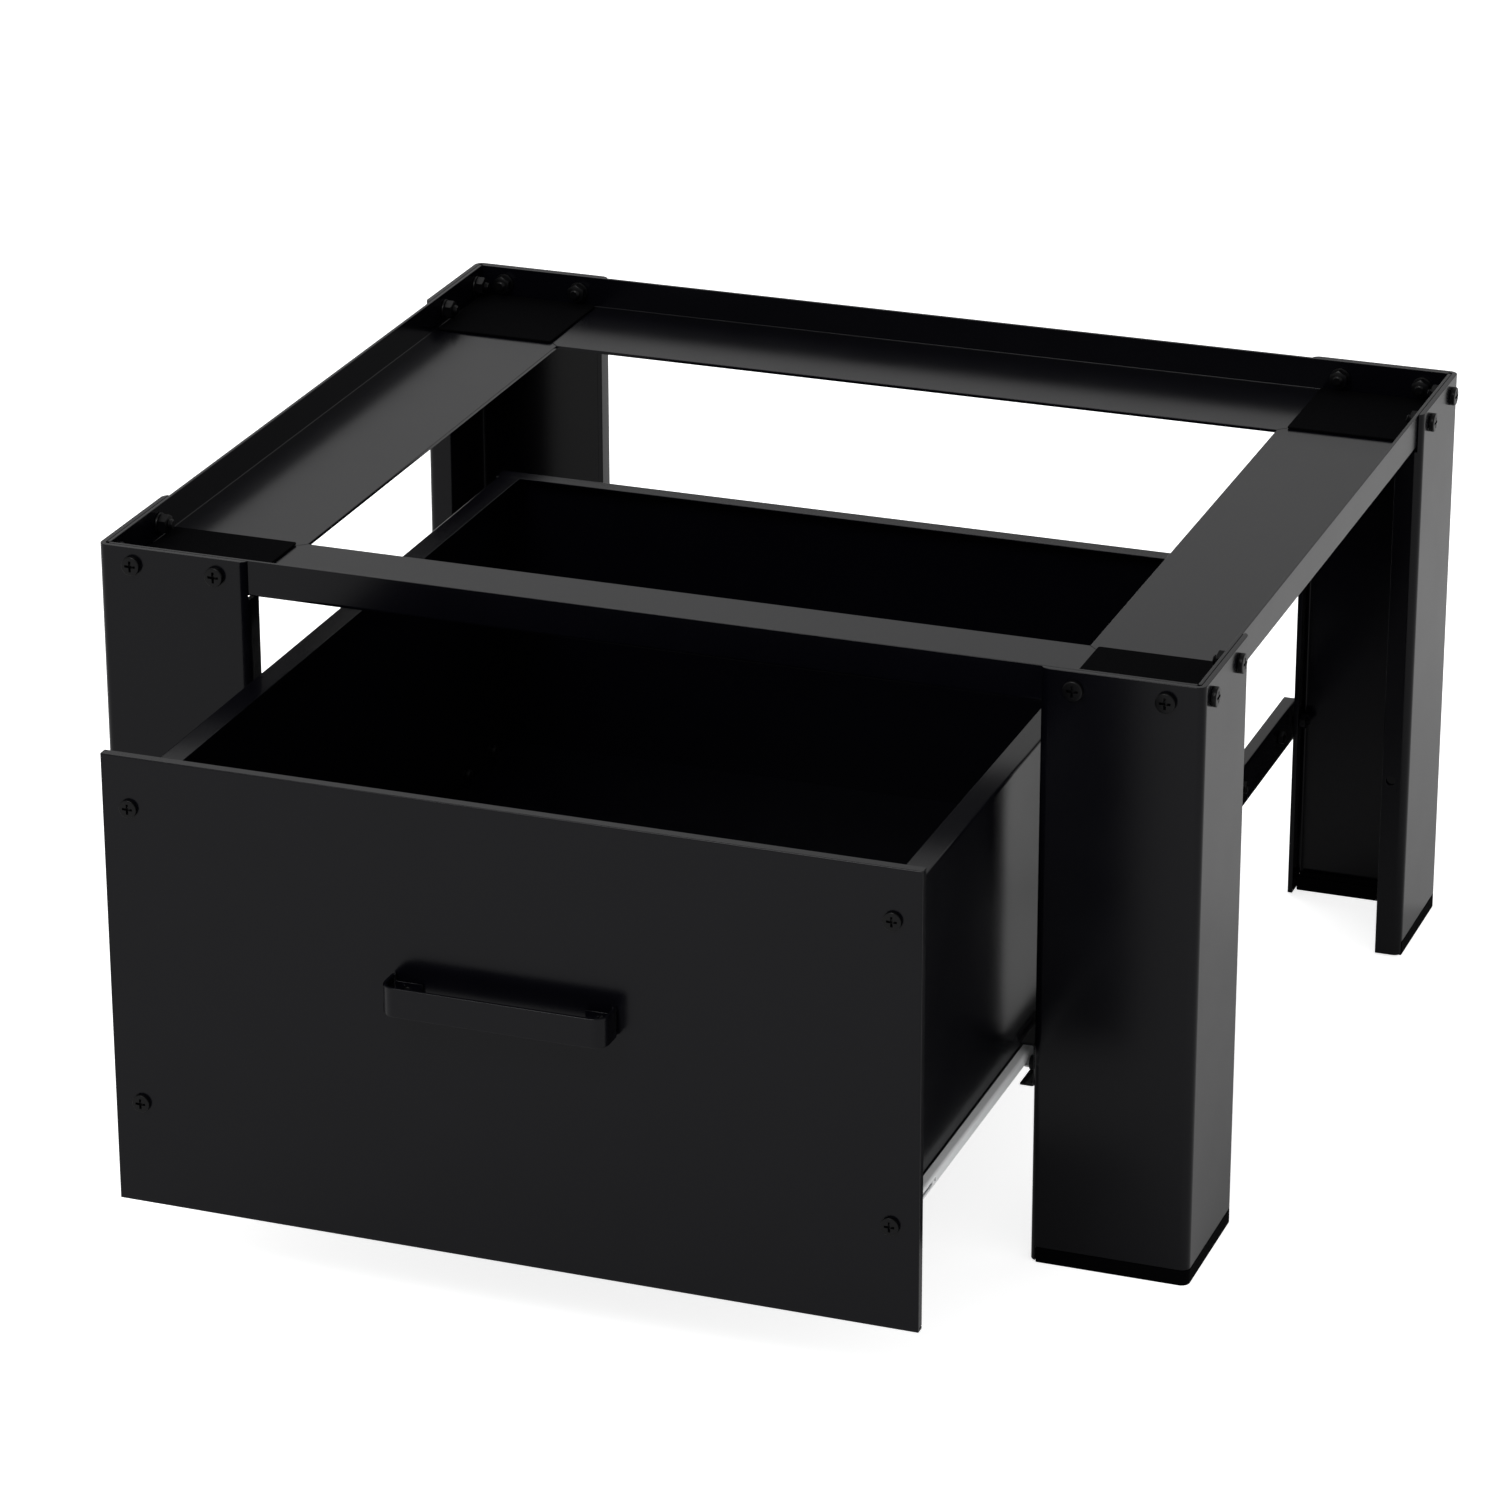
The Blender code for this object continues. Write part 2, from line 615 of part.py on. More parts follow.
def make_end_rail(end, carrier):
    """Make the front or rear rail, mitred against the side rails."""
    slope = SIDE_RAIL_SHELF / END_RAIL_SHELF
    middle = Vector((0, corner_of("left", end).y, 0))

    def half_length(inward, height):
        return FRAME_WIDTH / 2 - RAIL_FACE - (inward - RAIL_FACE) * slope - MITRE_GAP

    def place(inward, height, length):
        return Vector((length, ENDS[end] * inward, height))

    bm = bmesh.new()
    outline = rail_outline(END_RAIL_SHELF)
    add_prism(bm, outline, lambda a, b: -half_length(a, b), half_length, place)
    rail = piece(f"rail_{end}", bm, carrier, middle)
    corners = {side: corner_of(side, end) - middle for side in SIDES}
    bolts = [
        (corners[side] + start, outward)
        for side in SIDES
        for start, outward in frame_bolt_places(side, end)[:2]
    ]
    cut_rail(rail, bolts, [(corners[side], from_corner(side, end)) for side in SIDES])


def make_side_rail(side, carrier):
    """Make the left or right rail, mitred against the end rails."""
    slope = END_RAIL_SHELF / SIDE_RAIL_SHELF
    front = corner_of(side, "front")

    def start(inward, height):
        return RAIL_FACE + (inward - RAIL_FACE) * slope + MITRE_GAP

    def place(inward, height, length):
        return Vector((-SIDES[side] * inward, length, height))

    bm = bmesh.new()
    outline = rail_outline(SIDE_RAIL_SHELF)
    add_prism(bm, outline, start, lambda a, b: FRAME_DEPTH - start(a, b), place)
    rail = piece(f"rail_{side}", bm, carrier, front)
    corners = {end: corner_of(side, end) - front for end in ENDS}
    bolts = [
        (corners[end] + start, outward)
        for end in ENDS
        for start, outward in frame_bolt_places(side, end)[2:]
    ]
    cut_rail(rail, bolts, [(corners[end], from_corner(side, end)) for end in ENDS])


def make_pad(side, end, carrier):
    """Lay an anti-slip pad on a corner of the shelf."""
    bm = bmesh.new()
    outline = rectangle(PAD_EDGE, PAD_EDGE, PAD_EDGE + PAD_LENGTH, PAD_EDGE + PAD_LENGTH)
    low = SHELF_TOP + TOUCH_GAP
    add_prism(bm, outline, low, low + PAD_THICKNESS, from_corner(side, end))
    piece(f"pad_{end}_{side}", bm, carrier, corner_of(side, end), "pad_rubber")


def channel(face, web, depth, level, half_height, sheet, bend=0, lip=0):
    """Outline of a channel with its web outwards and its mouth inwards.

    A lip above zero turns the mouth's edges towards each other.
    """
    top = level + half_height
    mouth = face - depth
    upper = [(face, top, bend + sheet if bend else 0), (mouth, top, 0)]
    if lip:
        upper += [
            (mouth, top - sheet - lip, 0),
            (mouth + sheet, top - sheet - lip, 0),
            (mouth + sheet, top - sheet, 0),
        ]
    else:
        upper.append((mouth, top - sheet, 0))
    upper.append((web, top - sheet, bend))
    lower = [(a, 2 * level - b, radius) for a, b, radius in reversed(upper)]
    return rounded(upper + lower)


def support_bolt_depths():
    """Where a support is bolted to the legs."""
    return (SUPPORT_BOLT_PLACE, FRAME_DEPTH - SUPPORT_BOLT_PLACE)


def outer_stud_depths():
    """Where an outer runner is fixed to its support."""
    insets = (OUTER_END_STUD_INSET, OUTER_STUD_INSET)
    return [place for inset in insets for place in (OUTER_START + inset, OUTER_END - inset)]


def inner_rivet_depths():
    """Where an inner runner is riveted to the drawer wall."""
    last = INNER_END - INNER_REAR_RIVET_INSET
    return (INNER_START + INNER_FRONT_RIVET_INSET, last - INNER_REAR_RIVET_PITCH, last)


def make_support(side, carrier):
    """Make the channel that carries a slide."""
    outline = channel(SUPPORT_FACE, SUPPORT_WEB, SUPPORT_WIDTH, SUPPORT_LEVEL, SUPPORT_HEIGHT / 2,
                      SUPPORT_SHEET, SUPPORT_BEND_RADIUS)
    bm = bmesh.new()
    add_prism(bm, outline, SUPPORT_START, FRAME_DEPTH - SUPPORT_START, section(side))
    support = piece(f"slide_support_{side}", bm, carrier)
    cuts = bmesh.new()
    sign = SIDES[side]
    for depth in support_bolt_depths():
        drill = facing("X", (sign * SUPPORT_WEB, depth, SUPPORT_LEVEL), sign)
        add_drill(cuts, SUPPORT_BOLT_RADIUS + BORE_GAP, SUPPORT_SHEET, drill)
    for depth in outer_stud_depths():
        drill = facing("X", (sign * SUPPORT_WEB, depth, RUNNER_LEVEL), sign)
        add_drill(cuts, OUTER_STUD_RADIUS + BORE_GAP, SUPPORT_SHEET, drill)
    reshape(support, cuts, "DIFFERENCE")


def make_outer_runner(side, carrier):
    """Make the fixed runner, with its stop tab and the studs that hold it."""
    outline = channel(OUTER_FACE, OUTER_WEB, OUTER_DEPTH, RUNNER_LEVEL, OUTER_HEIGHT / 2,
                      OUTER_SHEET, lip=OUTER_LIP)
    bm = bmesh.new()
    add_prism(bm, outline, OUTER_START, OUTER_END, section(side))
    runner = piece(f"slide_outer_{side}", bm, carrier, finish="zinc_plate")

    tab = bmesh.new()
    bite = OUTER_SHEET / 2
    half = OUTER_ROOM + bite
    outline = rectangle(OUTER_MOUTH + bite, RUNNER_LEVEL - half, OUTER_WEB + bite, RUNNER_LEVEL + half)
    add_prism(tab, outline, OUTER_END - 2 * STOP_TAB, OUTER_END - STOP_TAB, section(side))
    reshape(runner, tab, "UNION")

    studs, nuts = bmesh.new(), bmesh.new()
    nut = SUPPORT_FACE + TOUCH_GAP - OUTER_WEB
    tail = nut + OUTER_NUT_HEIGHT + OUTER_STUD_TAIL
    profile = head_profile(OUTER_STUD_HEAD_RADIUS, OUTER_STUD_HEAD_HEIGHT)
    profile = profile[:-1] + [(OUTER_STUD_HEAD_RADIUS, -bite)]
    profile += shank_profile(OUTER_STUD_RADIUS, -bite, -tail)
    for depth in outer_stud_depths():
        place = facing("X", (SIDES[side] * OUTER_WEB, depth, RUNNER_LEVEL), -SIDES[side])
        add_turned(studs, profile, place, RIVET_STEPS)
        add_hexagon(nuts, OUTER_NUT_ACROSS, -nut - OUTER_NUT_HEIGHT, -nut, place)
    reshape(runner, studs, "UNION")
    reshape(runner, nuts, "UNION")


def make_stop(side, carrier):
    """Make the rubber block that the closing drawer meets."""
    half = OUTER_ROOM - TOUCH_GAP
    outline = rectangle(OUTER_MOUTH + OUTER_SHEET + TOUCH_GAP, RUNNER_LEVEL - half,
                        OUTER_WEB - TOUCH_GAP, RUNNER_LEVEL + half)
    bm = bmesh.new()
    add_prism(bm, outline, STOP_START, STOP_START + STOP_THICKNESS, section(side))
    piece(f"slide_stop_{side}", bm, carrier, finish="pad_rubber")


def make_inner_runner(side, carrier):
    """Make the drawer's runner, a small channel with its mouth on the drawer wall."""
    sign = SIDES[side]
    outline = channel(INNER_FACE, INNER_WEB, INNER_DEPTH, RUNNER_LEVEL, INNER_HALF_HEIGHT,
                      INNER_SHEET)
    bm = bmesh.new()
    add_prism(bm, outline, INNER_START, INNER_END, section(side))
    runner = piece(f"slide_inner_{side}", bm, carrier, finish="zinc_plate")

    cuts = bmesh.new()
    hole = facing("X", (sign * INNER_WEB, INNER_START + INNER_HOLE_INSET, RUNNER_LEVEL), sign)
    add_drill(cuts, INNER_HOLE_RADIUS, INNER_SHEET, hole)
    long, tall, corner = INNER_SLOT_LENGTH / 2, INNER_SLOT_WIDTH / 2, INNER_SLOT_CORNER
    slot = rounded((
        (-long, -tall, corner), (long, -tall, corner), (long, tall, corner), (-long, tall, corner)))
    middle = (sign * INNER_WEB, INNER_START + INNER_SLOT_INSET, RUNNER_LEVEL)
    add_prism(cuts, slot, -CUT_OVERRUN, INNER_SHEET + CUT_OVERRUN, facing("X", middle, sign))
    reshape(runner, cuts, "DIFFERENCE")

    rivets = bmesh.new()
    seat = BOX_WALL - TOUCH_GAP
    profile = head_profile(INNER_RIVET_HEAD_RADIUS, INNER_RIVET_HEAD_HEIGHT)
    profile += shank_profile(INNER_RIVET_RADIUS, 0, seat - INNER_FACE - INNER_RIVET_TAIL)
    for depth in inner_rivet_depths():
        place = facing("X", (sign * seat, depth, RUNNER_LEVEL), -sign)
        add_turned(rivets, profile, place, RIVET_STEPS)
    reshape(runner, rivets, "UNION")


def make_cage(side, carrier):
    """Make a thin channel with two rows of balls set in it."""
    outline = channel(CAGE_FACE, CAGE_FACE - CAGE_SHEET, CAGE_FACE - CAGE_MOUTH, RUNNER_LEVEL,
                      BALL_LEVEL + CAGE_SHEET / 2, CAGE_SHEET)
    bm = bmesh.new()
    add_prism(bm, outline, CAGE_START, CAGE_END, section(side))
    cage = piece(f"ball_cage_{side}", bm, carrier, finish="cage_steel")
    balls = bmesh.new()
    turns = [math.pi * ring / BALL_RINGS for ring in range(BALL_RINGS + 1)]
    profile = [(BALL_RADIUS * math.sin(turn), BALL_RADIUS * math.cos(turn)) for turn in turns]
    first = CAGE_MIDDLE - BALL_PITCH * (BALLS_IN_ROW - 1) / 2
    for index in range(BALLS_IN_ROW):
        for level in (RUNNER_LEVEL - BALL_LEVEL, RUNNER_LEVEL + BALL_LEVEL):
            middle = (SIDES[side] * BALL_PLACE, first + BALL_PITCH * index, level)
            add_turned(balls, profile, facing("Z", middle), BALL_STEPS)
    reshape(cage, balls, "UNION")


def panel_bolt_places():
    """Name and place of the four panel bolts, at the panel's front face."""
    levels = {"lower": PANEL_LOWER_BOLT, "upper": PANEL_UPPER_BOLT}
    return {
        f"{height}_{side}": Vector((sign * PANEL_BOLT_PLACE, 0, level))
        for side, sign in SIDES.items()
        for height, level in levels.items()
    }


def handle_screw_places():
    """Name and place of the two handle screws, at the panel's front face."""
    return {
        side: Vector((sign * HANDLE_SCREW_PLACE, 0, HANDLE_LEVEL))
        for side, sign in SIDES.items()
    }


def make_panel(carrier):
    """Make the drawer front, a tray of sheet that is open at the back."""
    bm = bmesh.new()
    outline = rectangle(-PANEL_HALF_WIDTH, PANEL_FLOOR, PANEL_HALF_WIDTH, PANEL_TOP)
    add_prism(bm, outline, 0, PANEL_THICKNESS, facing("Y"))
    front = [edge for edge in bm.edges if all(vert.co.y < TOUCH_GAP for vert in edge.verts)]
    bmesh.ops.bevel(
        bm, geom=front, offset=PANEL_EDGE_RADIUS, segments=EDGE_STEPS, affect="EDGES")
    panel = piece("drawer_front_panel", bm, carrier)

    tray = bmesh.new()
    outline = rectangle(PANEL_SHEET - PANEL_HALF_WIDTH, PANEL_FLOOR + PANEL_SHEET,
                        PANEL_HALF_WIDTH - PANEL_SHEET, PANEL_TOP - PANEL_SHEET)
    add_prism(tray, outline, PANEL_SHEET, PANEL_THICKNESS + CUT_OVERRUN, facing("Y"))
    reshape(panel, tray, "DIFFERENCE")
    holes = bmesh.new()
    for place in panel_bolt_places().values():
        add_drill(holes, PANEL_BOLT_RADIUS + BORE_GAP, PANEL_SHEET, facing("Y", place))
    for place in handle_screw_places().values():
        add_drill(holes, HANDLE_SCREW_RADIUS + BORE_GAP, PANEL_SHEET, facing("Y", place))
    reshape(panel, holes, "DIFFERENCE")


def make_handle(carrier):
    """Make the handle, a strap with rounded corners and an inward tab at each end."""
    half, tab, sheet = HANDLE_WIDTH / 2, HANDLE_TAB, HANDLE_SHEET
    back, front = TOUCH_GAP, HANDLE_REACH
    right = [
        (half - tab, back + sheet, 0), (half - tab, back, 0),
        (half, back, HANDLE_BACK_RADIUS + sheet), (half, front, HANDLE_FRONT_RADIUS + sheet)]
    inside = [
        (half - sheet, front - sheet, HANDLE_FRONT_RADIUS),
        (half - sheet, back + sheet, HANDLE_BACK_RADIUS)]
    left, left_inside = [
        [(-a, b, radius) for a, b, radius in reversed(points)] for points in (right, inside)]
    outline = rounded(right + left + left_inside + inside, CORNER_STEPS)

    def place(across, out, height):
        return Vector((across, -out, height))

    bm = bmesh.new()
    add_prism(bm, outline, HANDLE_FLOOR, HANDLE_FLOOR + HANDLE_HEIGHT, place)
    handle = piece("drawer_handle", bm, carrier)
    cuts = bmesh.new()
    for middle in handle_screw_places().values():
        start = middle - Vector((0, back, 0))
        add_drill(cuts, HANDLE_SCREW_RADIUS + BORE_GAP, sheet, facing("Y", start, -1.0))
    reshape(handle, cuts, "DIFFERENCE")


def make_handle_screws(carrier):
    """Make the screws that hold the handle from behind the panel."""
    bm = bmesh.new()
    grip = PANEL_SHEET + 2 * TOUCH_GAP + HANDLE_SHEET
    profile = head_profile(HANDLE_SCREW_HEAD_RADIUS, HANDLE_SCREW_HEAD_HEIGHT)
    add_turned(bm, profile + shank_profile(HANDLE_SCREW_RADIUS, 0, -grip), facing("Z"), HEAD_STEPS)
    screw = piece("screw", bm, None, finish="black_bolt")
    cut_recess(screw, HANDLE_SCREW_HEAD_RADIUS, HANDLE_SCREW_HEAD_HEIGHT)
    mesh = fixed_mesh(screw)
    seat = Vector((0, PANEL_SHEET + TOUCH_GAP, 0))
    for side, place in handle_screw_places().items():
        put(f"handle_screw_{side}", mesh, carrier, place + seat, (0, 1, 0))


def make_panel_bolts(carrier):
    """Make the bolts that join the panel and the drawer box."""
    grip = BOX_FRONT_INSIDE + 2 * TOUCH_GAP
    mesh = make_bolt_mesh(
        (PANEL_HEAD_RADIUS, PANEL_HEAD_HEIGHT), PANEL_BOLT_RADIUS, grip,
        (PANEL_NUT_ACROSS, PANEL_NUT_HEIGHT), PANEL_BOLT_TAIL, recess=True)
    seat = Vector((0, -TOUCH_GAP, 0))
    for name, place in panel_bolt_places().items():
        put(f"panel_bolt_{name}", mesh, carrier, place + seat, (0, -1, 0))


def make_box_side(side, carrier):
    """Make a drawer side: a wall with a flange turned in along each edge."""
    sheet, bend, over = BOX_SHEET, BOX_BEND_RADIUS, CUT_OVERRUN
    top_edge = BOX_HALF_WIDTH - BOX_FLANGE
    low_edge = BOX_HALF_WIDTH - BOX_LOWER_FLANGE
    outline = rounded((
        (BOX_HALF_WIDTH, BOX_TOP, bend + sheet), (top_edge, BOX_TOP, 0),
        (top_edge, BOX_TOP - sheet, 0), (BOX_WALL, BOX_TOP - sheet, bend),
        (BOX_WALL, BOX_BOTTOM + sheet, bend), (low_edge, BOX_BOTTOM + sheet, 0),
        (low_edge, BOX_BOTTOM, 0), (BOX_HALF_WIDTH, BOX_BOTTOM, bend + sheet)))
    bm = bmesh.new()
    add_prism(bm, outline, BOX_START, SIDE_END, section(side))
    body = piece(f"drawer_side_{side}", bm, carrier)

    for start, edge in ((BOX_START, top_edge), (SIDE_END - sheet, low_edge)):
        flange = bmesh.new()
        outline = rectangle(edge, FLOOR_TOP + TOUCH_GAP, BOX_WALL + sheet / 2, BOX_TOP - sheet / 2)
        add_prism(flange, outline, start, start + sheet, section(side))
        reshape(body, flange, "UNION")

    cuts = bmesh.new()
    front_gap = rectangle(low_edge - over, BOX_BOTTOM - over, BOX_WALL - bend, FLOOR_UNDERSIDE)
    add_prism(cuts, front_gap, BOX_START - over, BOX_START + LOWER_FLANGE_SETBACK, section(side))
    back_gap = rectangle(top_edge - over, BOX_TOP - sheet - TOUCH_GAP,
                         BOX_HALF_WIDTH + over, BOX_TOP + over)
    add_prism(cuts, back_gap, BOX_END - BACK_FLANGE - TOUCH_GAP, SIDE_END + over, section(side))
    sign = SIDES[side]
    for depth in inner_rivet_depths():
        drill = facing("X", (sign * BOX_WALL, depth, RUNNER_LEVEL), sign)
        add_drill(cuts, INNER_RIVET_RADIUS + BORE_GAP, sheet, drill)
    upper = facing("Y", (sign * PANEL_BOLT_PLACE, BOX_START, PANEL_UPPER_BOLT))
    add_drill(cuts, PANEL_BOLT_RADIUS + BORE_GAP, sheet, upper)
    reshape(body, cuts, "DIFFERENCE")


def make_box_back(carrier):
    """Make the drawer back, a wall with its top flange turned forwards."""
    sheet, bend = BOX_SHEET, BOX_BEND_RADIUS
    edge = BOX_END - BACK_FLANGE
    outline = rounded((
        (BOX_END, BOX_BOTTOM, 0), (BOX_END, BOX_TOP, bend + sheet), (edge, BOX_TOP, 0),
        (edge, BOX_TOP - sheet, 0), (BACK_WALL, BOX_TOP - sheet, bend), (BACK_WALL, BOX_BOTTOM, 0)))
    half = BOX_HALF_WIDTH + BACK_OVERHANG
    bm = bmesh.new()
    add_prism(bm, outline, -half, half, facing("X"))
    piece("drawer_back", bm, carrier)


def make_box_floor(carrier):
    """Make the drawer floor with its front lip turned down behind the panel."""
    sheet, bend = BOX_SHEET, BOX_BEND_RADIUS
    lip_end = FLOOR_TOP - FLOOR_LIP
    outline = rounded((
        (BOX_START, lip_end, 0), (BOX_START, FLOOR_TOP, bend + sheet), (SIDE_END, FLOOR_TOP, 0),
        (SIDE_END, FLOOR_UNDERSIDE, 0), (BOX_FRONT_INSIDE, FLOOR_UNDERSIDE, bend),
        (BOX_FRONT_INSIDE, lip_end, 0)))
    half = BOX_WALL - bend - TOUCH_GAP
    bm = bmesh.new()
    add_prism(bm, outline, -half, half, facing("X"))
    floor = piece("drawer_floor", bm, carrier)
    cuts = bmesh.new()
    for sign in SIDES.values():
        lower = facing("Y", (sign * PANEL_BOLT_PLACE, BOX_START, PANEL_LOWER_BOLT))
        add_drill(cuts, PANEL_BOLT_RADIUS + BORE_GAP, sheet, lower)
    reshape(floor, cuts, "DIFFERENCE")


def make_frame_bolts(carrier):
    """Make the sixteen bolts between the legs and the rails."""
    grip = RAIL_FACE + RAIL_SHEET + 2 * TOUCH_GAP
    mesh = make_bolt_mesh(
        (FRAME_HEAD_RADIUS, FRAME_HEAD_HEIGHT), FRAME_BOLT_RADIUS, grip,
        (FRAME_NUT_ACROSS, FRAME_NUT_HEIGHT), FRAME_BOLT_TAIL,
        washer=(FRAME_WASHER_RADIUS, FRAME_WASHER_SHEET), recess=True)
    for end in ENDS:
        for side in SIDES:
            for number, (start, outward) in enumerate(frame_bolt_places(side, end), start=1):
                seat = corner_of(side, end) + start + outward * TOUCH_GAP
                put(f"leg_bolt_{end}_{side}_{number}", mesh, carrier, seat, outward)


def make_support_bolts(carrier):
    """Make the four bolts between the supports and the legs' return flanges."""
    grip = SUPPORT_SHEET + LEG_SHEET + 3 * TOUCH_GAP
    mesh = make_bolt_mesh(
        (SUPPORT_HEAD_RADIUS, SUPPORT_HEAD_HEIGHT), SUPPORT_BOLT_RADIUS, grip,
        (SUPPORT_NUT_ACROSS, SUPPORT_NUT_HEIGHT), SUPPORT_BOLT_TAIL)
    for side, sign in SIDES.items():
        for end, depth in zip(ENDS, support_bolt_depths()):
            seat = (sign * (SUPPORT_WEB - TOUCH_GAP), depth, SUPPORT_LEVEL)
            put(f"support_bolt_{end}_{side}", mesh, carrier, seat, (-sign, 0, 0))


def make_frame(carrier):
    """Make everything that stands still."""
    for end in ENDS:
        for side in SIDES:
            make_leg(side, end, carrier)
            make_foot(side, end, carrier)
            make_pad(side, end, carrier)
        make_end_rail(end, carrier)
    for side in SIDES:
        make_side_rail(side, carrier)
        make_support(side, carrier)
        make_outer_runner(side, carrier)
        make_stop(side, carrier)
    make_frame_bolts(carrier)
    make_support_bolts(carrier)


def make_drawer(carrier):
    """Make the drawer as it stands when it is shut."""
    make_panel(carrier)
    make_panel_bolts(carrier)
    make_handle(carrier)
    make_handle_screws(carrier)
    make_box_back(carrier)
    make_box_floor(carrier)
    for side in SIDES:
        make_box_side(side, carrier)
        make_inner_runner(side, carrier)


def main():
    """Build the pedestal with its drawer partly open."""
    clear_scene()
    make_finishes()
    pedestal = empty("pedestal", None, (0, -MODEL_MIDDLE, 0))
    make_frame(pedestal)
    make_drawer(empty("drawer_travel", pedestal, (0, -DRAWER_OPEN, 0)))
    for side in SIDES:
        make_cage(side, empty(f"cage_travel_{side}", pedestal, (0, -DRAWER_OPEN / 2, 0)))


main()
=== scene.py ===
"""Washing machine pedestal, dressed for the render.

Metres, +Z up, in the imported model's own frame. Each sheet-steel piece is folded again here with
smooth bends, eased edges and real holes, and each fastener gets its head, thread and nut. Places
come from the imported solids' boxes, so every piece stays where its solid is.
"""

import math

import bmesh
import bpy
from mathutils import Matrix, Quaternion, Vector


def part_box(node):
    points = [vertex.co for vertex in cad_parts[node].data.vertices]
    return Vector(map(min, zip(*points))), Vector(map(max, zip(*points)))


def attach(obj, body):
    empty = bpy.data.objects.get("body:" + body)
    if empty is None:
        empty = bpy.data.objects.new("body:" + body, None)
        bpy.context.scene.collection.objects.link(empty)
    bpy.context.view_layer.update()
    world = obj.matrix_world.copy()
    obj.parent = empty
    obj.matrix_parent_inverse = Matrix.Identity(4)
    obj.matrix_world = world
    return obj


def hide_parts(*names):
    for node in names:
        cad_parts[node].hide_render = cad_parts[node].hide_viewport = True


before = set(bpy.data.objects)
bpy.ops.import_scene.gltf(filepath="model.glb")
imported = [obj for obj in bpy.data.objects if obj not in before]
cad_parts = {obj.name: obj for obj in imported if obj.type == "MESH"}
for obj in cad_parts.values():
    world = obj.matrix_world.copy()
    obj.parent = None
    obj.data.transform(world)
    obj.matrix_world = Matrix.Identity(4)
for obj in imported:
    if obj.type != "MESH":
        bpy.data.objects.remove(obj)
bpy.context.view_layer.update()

# Camera, fitted to the photograph's straight edges
CAMERA_PLACE = (1.0697, -2.8892, 1.4686)
CAMERA_TURN = math.radians(20.258)
CAMERA_DROP = math.radians(22.355)
CAMERA_ROLL = math.radians(0.111)
SENSOR_WIDTH = 36.0
LENS = 141.59
FAR_CLIP = 50

# Gaps between touching pieces
TOUCH = 0.0003
MITRE = 0.0002
OVER = 0.001

# Sheet sizes
LEG_SHEET = 0.003
LEG_RETURN = 0.0156
LEG_BEND = 0.002
LEG_FLOOR = 0.0093
LEG_RETURN_TOP = 0.3222
RAIL_SHEET = 0.002
RAIL_FACE = 0.0033
RAIL_BEND = 0.0005
RAIL_CORNER_CUT = 0.0053
SUPPORT_SHEET = 0.0012
SUPPORT_BEND = 0.0008
BOX_SHEET = 0.001
BOX_BEND = 0.0006
PANEL_SHEET = 0.0015
PANEL_BEND = 0.0008
PANEL_INNER_BEND = PANEL_BEND * 0.4
PANEL_SLIT = 0.0004
HANDLE_SHEET = 0.002
HANDLE_TAB = 0.017
HANDLE_FRONT_BEND = 0.006
HANDLE_BACK_BEND = 0.0005
HANDLE_TAB_DROP = 0.0042
HANDLE_EDGE = 0.0006
RUNNER_SHEET = 0.001
RUNNER_BEND = 0.0006
OUTER_DEPTH = 0.0078
OUTER_HALF_HEIGHT = 0.0085
OUTER_LIP = 0.002
STOP_TAB = 0.001
INNER_DEPTH = 0.0052
INNER_HALF_HEIGHT = 0.0033
CAGE_SHEET = 0.0005
CAGE_BEND = 0.0003

# Drawer box flanges
SIDE_FLANGE = 0.0138
SIDE_LOWER_FLANGE = 0.012
LOWER_FLANGE_SETBACK = 0.0067

# Feet and pads
FOOT_WIDTH = 0.008
FOOT_HEIGHT = 0.009
FOOT_LIP = 0.003
FOOT_LIP_TOP = 0.012
PAD_CORNER = 0.0015

# Holes and slots
FRAME_BORE = 0.0033
SUPPORT_BORE = 0.0028
PANEL_BORE = 0.0023
STUD_BORE = 0.0023
RIVET_BORE = 0.0018
RUNNER_HOLE = 0.0014
RUNNER_HOLE_INSET = 0.0335
RUNNER_SLOT = (0.016, 0.002, 0.0007)
RUNNER_SLOT_INSET = 0.0215

# Spot welds down the drawer's back and along its floor
WELD_MARK = 0.0022
WELD_FLOOR_SHARE = 0.8
WELD_DEPTH = 0.00012
WELD_PITCH = 0.034

# Fasteners: head radius and height, thread radius and pitch, nut across flats and height
FRAME_BOLT = {"head": (0.0055, 0.0028), "thread": (0.003, 0.001), "nut": (0.010, 0.005)}
SUPPORT_BOLT = {"head": (0.0042, 0.0024), "thread": (0.0025, 0.0008), "nut": (0.008, 0.004)}
PANEL_BOLT = {"head": (0.005, 0.002), "thread": (0.002, 0.0007), "nut": (0.007, 0.0032)}
HANDLE_SCREW = {"head": (0.0038, 0.0022), "thread": (0.002, 0.0007), "nut": None}
FRAME_TAIL = 0.0025
SUPPORT_TAIL = 0.0015
PANEL_TAIL = 0.0012
STUD_NUT = (0.007, 0.0032)
STUD_TAIL = 0.0008
STUD_RADIUS = 0.002
STUD_PITCH = 0.0007
STUD_INSETS = (0.022, 0.105)
WASHER = (0.006, 0.0012)
RIVET_HEAD = (0.0034, 0.0022)
RIVET_RADIUS = 0.0015
RIVET_INSETS = (0.054, 0.051, 0.011)
STUD_HEAD = (0.0035, 0.0008)
HEAD_ROLL_SHARE = 0.24
HEAD_CROWN_SHARE = 0.93
HEAD_CROWN = ((0.35, 0.985), (0.05, 1.0))
CROSS_ARM_SHARE = 0.56
CROSS_WIDTH_SHARE = 0.13
CROSS_FLOOR_SHARE = 0.15
CROSS_TAPER = (0.8, 1.15)
THREAD_TOP = TOUCH / 2
THREAD_DEPTH_SHARE = 0.5
THREAD_POINT_SHARE = 0.25
NUT_FACE_SHARE = 0.95
NUT_CHAMFER = math.radians(30)
WASHER_ROLL_SHARE = 0.35
WASHER_CUT_SHARE = 0.3
BALL_RADIUS = 0.0018
